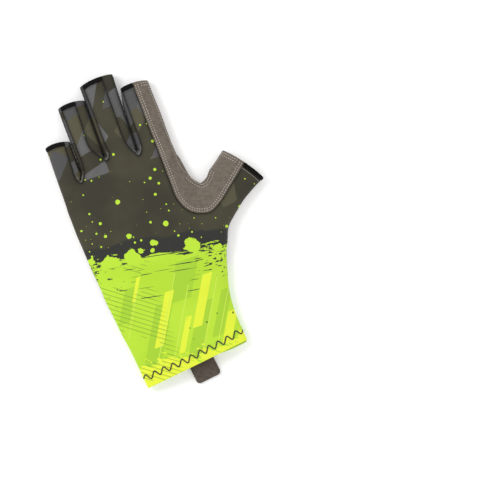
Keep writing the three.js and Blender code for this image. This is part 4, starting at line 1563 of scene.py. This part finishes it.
def zigzag(name, outside, side, proud):
    """A thread along the hem, on the upper side (1) or on the underside (-1) of the glove.

    Its middle stands out of the cloth by proud, a share of its radius.
    """
    left_x, left_y, right_x, slope = hem_line()
    tree = BVHTree.FromPolygons(outside.points.tolist(), outside.faces.tolist())
    along = np.arange(left_x - 4, right_x + 4, ZIGZAG_STEP)
    wave = np.sin(2 * math.pi * (along - left_x) / ZIGZAG_PITCH + 0.6)
    wave = np.arcsin(wave * ZIGZAG_SHARPNESS) / math.asin(ZIGZAG_SHARPNESS)
    bow = ZIGZAG_BOW * (2 * along / (right_x - left_x)) ** 2
    unevenness = ZIGZAG_UNEVENNESS * np.sin(along / 5.7)
    from_hem = ZIGZAG_FROM_HEM + bow + unevenness + wave * ZIGZAG_HEIGHT / 2
    y = left_y + (along - left_x) * slope + from_hem
    path, normals = [], []
    for px, py in zip(along.tolist(), y.tolist()):
        hit, normal, _, _ = tree.ray_cast(Vector((px, py, 60 * side)), Vector((0, 0, -side)))
        if hit is not None:
            path.append(hit)
            normals.append(normal)
    path, normals = np.array(path), np.array(normals)
    normals[:, 2] += 1e-6
    path = path + normals * ZIGZAG_RADIUS * proud
    points, faces = thread_tube(path, normals, ZIGZAG_RADIUS)
    add_piece(name, points, faces, DARK_THREAD)


zigzag("hem_zigzag_back", back_outside, 1, 0.35)
zigzag("hem_zigzag_underside", cuff_outside, -1, -0.3)

# Camera, floor and light
PHOTO_TURN = 18.2  # degrees that the glove leans in the photograph
PHOTO_WIDTH = 400.0  # what the photograph's width covers
PHOTO_MIDDLE = np.array([67.75, 72.88, 0.0])
CAMERA_HEIGHT = 2000.0
SENSOR_WIDTH = 36

camera = bpy.data.objects.new("camera", bpy.data.cameras.new("camera"))
camera.data.sensor_width = SENSOR_WIDTH
camera.data.lens = SENSOR_WIDTH * CAMERA_HEIGHT / PHOTO_WIDTH
camera.location = (PHOTO_MIDDLE + HEM_IN_FRAME + [0, 0, CAMERA_HEIGHT]) * METRES
camera.rotation_euler = (0, 0, -math.radians(PHOTO_TURN))
bpy.context.scene.collection.objects.link(camera)
bpy.context.scene.camera = camera

WHITE = (1, 1, 1, 1)
FLOOR_COLOUR = (0.97, 0.97, 0.97, 1)
FLOOR_GLOW = 0.2
SKY_STRENGTH = 0.76
FLOOR_REACH = 6.0
FLOOR_BELOW = 0.00055  # in metres, so that the palm's stitches stay above the floor
floor_mesh = bpy.data.meshes.new("floor")
corners = [(x * FLOOR_REACH, y * FLOOR_REACH, 0) for x, y in ((-1, -1), (1, -1), (1, 1), (-1, 1))]
floor_mesh.from_pydata(corners, [], [(0, 1, 2, 3)])
floor = bpy.data.objects.new("floor", floor_mesh)
floor_paint = bpy.data.materials.new("floor")
floor_paint.use_nodes = True
sockets = floor_paint.node_tree.nodes["Principled BSDF"].inputs
sockets["Base Color"].default_value = FLOOR_COLOUR
sockets["Roughness"].default_value = 0.9
sockets["Emission Color"].default_value = WHITE
sockets["Emission Strength"].default_value = FLOOR_GLOW
floor_mesh.materials.append(floor_paint)
floor.location.z = -FLOOR_BELOW
bpy.context.scene.collection.objects.link(floor)

world = bpy.data.worlds.new("studio")
world.use_nodes = True
sockets = world.node_tree.nodes["Background"].inputs
sockets["Color"].default_value = WHITE
sockets["Strength"].default_value = SKY_STRENGTH
bpy.context.scene.world = world


def soft_light(name, place, size, power):
    data = bpy.data.lights.new(name, "AREA")
    data.size = size
    data.energy = power
    light = bpy.data.objects.new(name, data)
    light.location = place
    light.rotation_euler = (-Vector(place)).to_track_quat("-Z", "Y").to_euler()
    bpy.context.scene.collection.objects.link(light)


soft_light("key", (-0.9, 0.9, 1.5), 0.7, 11.5)
soft_light("fill", (1.2, -0.6, 1.6), 1.2, 3.0)
bpy.context.scene.view_settings.view_transform = "Standard"
